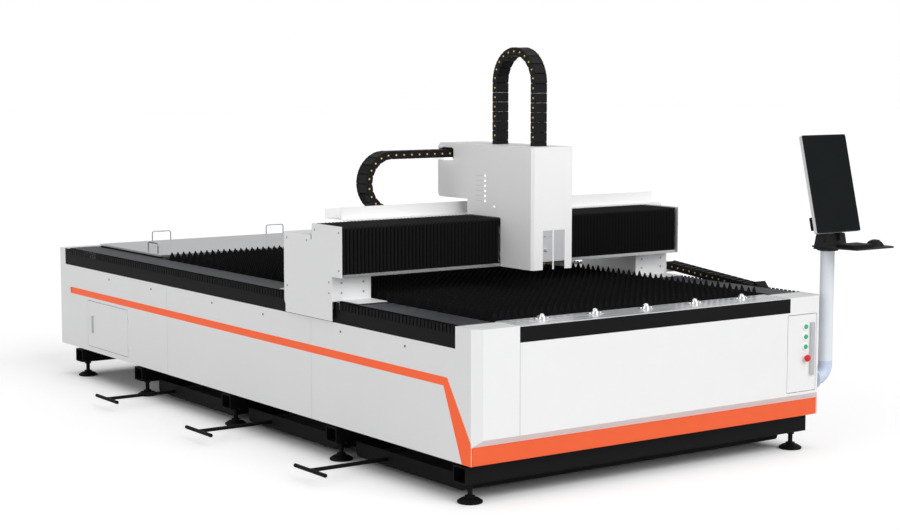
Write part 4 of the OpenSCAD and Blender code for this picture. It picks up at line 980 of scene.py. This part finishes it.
class LASER_OT_console_fittings(bpy.types.Operator):
    """Adds the screen's black rim, the box behind the screen, the keys and the mouse wheel"""

    bl_idname = "laser.console_fittings"
    bl_label = "Console Fittings"

    def execute(self, context):
        turn = Matrix.Rotation(math.radians(-SCREEN_LEAN), 4, "X")
        self.screen(Matrix.Translation(joint_place("monitor_tilt")) @ turn)
        self.keys(*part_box("keyboard"))
        self.wheel(*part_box("mouse"))
        return {"FINISHED"}

    @staticmethod
    def screen(lean):
        """Rim round the screen and the box behind it, in the screen's leaning frame."""
        front = SCREEN_FRONT - RIM_RISE
        rim = Shape(lean)
        rim.frame(SCREEN_W, SCREEN_H, SCREEN_LOW, SCREEN_CORNER, RIM_W, front, SCREEN_FRONT)
        rim.make("screen_rim", "black_plastic", "monitor")
        rear_box = Shape(lean)
        rear_box.box(*zip(REAR_BOX_X, REAR_BOX_Y, REAR_BOX_Z))
        rear_box.make("screen_box", "black_plastic", "monitor")

    @staticmethod
    def keys(low, high):
        """Keycaps in columns and rows."""
        keys = Shape()
        for i in range(KEY_COLUMNS):
            for j in range(KEY_ROWS):
                x = low.x + KEY_INSET[0] + i * KEY_PITCH[0]
                y = low.y + KEY_INSET[1] + j * KEY_PITCH[1]
                keys.box((x, y, high.z - KEY_SINK),
                         (x + KEY_SIZE[0], y + KEY_SIZE[1], high.z + KEY_RISE))
        keys.make("keycaps", "key_grey", "console")

    @staticmethod
    def wheel(low, high):
        """Wheel across the mouse, level with its top."""
        wheel = Shape()
        base = ((low.x + high.x) / 2 - WHEEL_W / 2, low.y + WHEEL_Y, high.z - WHEEL_R)
        wheel.rod(base, (1, 0, 0), WHEEL_R, WHEEL_W)
        wheel.make("mouse_wheel", "screw_grey", "console")


class LASER_OT_hidden_sides(bpy.types.Operator):
    """Adds louvres to the right side panel as dark strips of painted shade"""

    bl_idname = "laser.hidden_sides"
    bl_label = "Hidden Sides"

    def execute(self, context):
        look = context.scene.laser_look
        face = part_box("rail_guards")[1].x
        slots = Shape()
        for k in range(look.slot_rows):
            z = LOUVRE_LOW + k * LOUVRE_PITCH
            slots.box((face - LOUVRE_SINK, LOUVRE_Y[0], z),
                      (face + LOUVRE_RISE, LOUVRE_Y[1], z + LOUVRE_H))
        # The louvres are painted shade
        slots.make("louvres", "painted_slot_shade", "bed")
        return {"FINISHED"}


class LASER_OT_stage(bpy.types.Operator):
    """Sets the floor, the light, the white surround and the camera"""

    bl_idname = "laser.stage"
    bl_label = "Stage"

    def execute(self, context):
        self.floor()
        self.light()
        self.surround(context.scene)
        self.camera(context.scene)
        context.scene.view_settings.view_transform = "Standard"
        return {"FINISHED"}

    @staticmethod
    def floor():
        """Pale floor that glows for the camera alone, apart from the shade under the bed: real shadow,
        deepened by painted shade in the bed's footprint.
        """
        mesh = bpy.data.meshes.new("floor")
        signs = ((-1, -1), (1, -1), (1, 1), (-1, 1))
        corners = [(x * FLOOR_REACH, y * FLOOR_REACH, 0) for x, y in signs]
        mesh.from_pydata(corners, [], [(0, 1, 2, 3)])
        mat = bpy.data.materials.new("studio_floor")
        mat.use_nodes = True
        nodes = mat.node_tree.nodes
        links = mat.node_tree.links
        matte = nodes["Principled BSDF"]
        matte.inputs["Base Color"].default_value = (FLOOR_TONE, FLOOR_TONE, FLOOR_TONE, 1)
        matte.inputs["Roughness"].default_value = FLOOR_ROUGH
        matte.inputs["Specular IOR Level"].default_value = 0.0
        glow = nodes.new("ShaderNodeEmission")
        ray = nodes.new("ShaderNodeLightPath")
        coords = nodes.new("ShaderNodeTexCoord")
        split = nodes.new("ShaderNodeSeparateXYZ")
        links.new(coords.outputs["Object"], split.inputs["Vector"])
        # Painted shade: the glow stops within the bed's footprint
        open_floor = nodes.new("ShaderNodeMath")
        open_floor.operation = "MAXIMUM"
        for i, (axis, reach) in enumerate((("X", SHADE_X), ("Y", SHADE_Y))):
            away = nodes.new("ShaderNodeMath")
            away.operation = "ABSOLUTE"
            edge = nodes.new("ShaderNodeMapRange")
            edge.interpolation_type = "SMOOTHSTEP"
            edge.inputs["From Min"].default_value = reach - SHADE_EDGE
            edge.inputs["From Max"].default_value = reach + SHADE_EDGE
            edge.inputs["To Max"].default_value = FLOOR_GLOW
            links.new(split.outputs[axis], away.inputs[0])
            links.new(away.outputs["Value"], edge.inputs["Value"])
            links.new(edge.outputs["Result"], open_floor.inputs[i])
        level = nodes.new("ShaderNodeMath")
        level.operation = "MULTIPLY"
        both = nodes.new("ShaderNodeAddShader")
        links.new(ray.outputs["Is Camera Ray"], level.inputs[0])
        links.new(open_floor.outputs["Value"], level.inputs[1])
        links.new(level.outputs["Value"], glow.inputs["Strength"])
        links.new(matte.outputs["BSDF"], both.inputs[0])
        links.new(glow.outputs["Emission"], both.inputs[1])
        links.new(both.outputs["Shader"], nodes["Material Output"].inputs["Surface"])
        mesh.materials.append(mat)
        plane = bpy.data.objects.new("floor", mesh)
        bpy.context.scene.collection.objects.link(plane)

    @staticmethod
    def light():
        """Soft lamps from the front and the left."""
        for name, energy, way in LAMPS:
            lamp = bpy.data.lights.new(name, "SUN")
            lamp.energy = energy
            lamp.angle = math.radians(LAMP_SPREAD)
            sun = bpy.data.objects.new(name, lamp)
            sun.rotation_euler = Vector(way).to_track_quat("-Z", "Y").to_euler()
            sun.location = Vector(way) * -LAMP_AWAY
            bpy.context.scene.collection.objects.link(sun)

    @staticmethod
    def surround(scene):
        """White for the camera, bands of tone for shiny pieces, soft light for the rest."""
        world = bpy.data.worlds.new("studio")
        scene.world = world
        world.use_nodes = True
        nodes = world.node_tree.nodes
        links = world.node_tree.links
        soft = nodes["Background"]
        soft.inputs["Color"].default_value = (1, 1, 1, 1)
        soft.inputs["Strength"].default_value = SURROUND_LIGHT
        white = nodes.new("ShaderNodeBackground")
        white.inputs["Color"].default_value = (1, 1, 1, 1)
        white.inputs["Strength"].default_value = 1.0
        ray = nodes.new("ShaderNodeLightPath")
        pick = nodes.new("ShaderNodeMixShader")
        bands = nodes.new("ShaderNodeBackground")
        coords = nodes.new("ShaderNodeTexCoord")
        split = nodes.new("ShaderNodeSeparateXYZ")
        height = nodes.new("ShaderNodeMapRange")
        height.inputs["From Min"].default_value = -1
        ramp = nodes.new("ShaderNodeValToRGB")
        stops = ramp.color_ramp.elements
        for i, (place, tone) in enumerate(SHINE_STEPS):
            stop = stops[i] if i < len(stops) else stops.new(place)
            stop.position = place
            stop.color = (tone, tone, tone, 1)
        shine = nodes.new("ShaderNodeMixShader")
        links.new(coords.outputs["Generated"], split.inputs["Vector"])
        links.new(split.outputs["Z"], height.inputs["Value"])
        links.new(height.outputs["Result"], ramp.inputs["Fac"])
        links.new(ramp.outputs["Color"], bands.inputs["Color"])
        links.new(ray.outputs["Is Glossy Ray"], shine.inputs["Fac"])
        links.new(soft.outputs["Background"], shine.inputs[1])
        links.new(bands.outputs["Background"], shine.inputs[2])
        links.new(ray.outputs["Is Camera Ray"], pick.inputs["Fac"])
        links.new(shine.outputs["Shader"], pick.inputs[1])
        links.new(white.outputs["Background"], pick.inputs[2])
        links.new(pick.outputs["Shader"], nodes["World Output"].inputs["Surface"])

    @staticmethod
    def camera(scene):
        """Camera at the photograph's viewing angle."""
        data = bpy.data.cameras.new("photo_view")
        data.lens = LENS_MM
        data.sensor_fit = "HORIZONTAL"
        data.sensor_width = SENSOR_MM
        data.clip_end = VIEW_REACH
        view = bpy.data.objects.new("photo_view", data)
        view.location = EYE
        view.rotation_euler = (math.radians(90 - ELEVATION), 0, math.radians(AZIMUTH))
        scene.collection.objects.link(view)
        scene.camera = view


OPERATORS = (
    LASER_OT_finishes,
    LASER_OT_y_chain,
    LASER_OT_x_chain,
    LASER_OT_z_chain,
    LASER_OT_bellows,
    LASER_OT_panel_fittings,
    LASER_OT_table_fittings,
    LASER_OT_gantry_fittings,
    LASER_OT_head_fittings,
    LASER_OT_console_fittings,
    LASER_OT_hidden_sides,
    LASER_OT_stage,
)


class LASER_PT_panel(bpy.types.Panel):
    """Sidebar panel with the paint colours, the fittings' sizes and one button for each group"""

    bl_idname = "LASER_PT_panel"
    bl_label = "Laser Cutter"
    bl_space_type = "VIEW_3D"
    bl_region_type = "UI"
    bl_category = "Laser Cutter"

    def draw(self, context):
        look = context.scene.laser_look
        for name in LaserLook.__annotations__:
            self.layout.prop(look, name)
        for operator in OPERATORS:
            self.layout.operator(operator.bl_idname)


CLASSES = (LaserLook, *OPERATORS, LASER_PT_panel)


def register():
    """Registers the classes and the settings that a scene keeps."""
    for cls in CLASSES:
        bpy.utils.register_class(cls)
    bpy.types.Scene.laser_look = bpy.props.PointerProperty(type=LaserLook)


def unregister():
    """Removes the settings and the classes."""
    del bpy.types.Scene.laser_look
    for cls in reversed(CLASSES):
        bpy.utils.unregister_class(cls)


def main():
    """Builds the picture model."""
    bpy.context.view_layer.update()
    register()
    for operator in OPERATORS:
        group, name = operator.bl_idname.split(".")
        getattr(getattr(bpy.ops, group), name)()


if __name__ == "__main__":
    main()
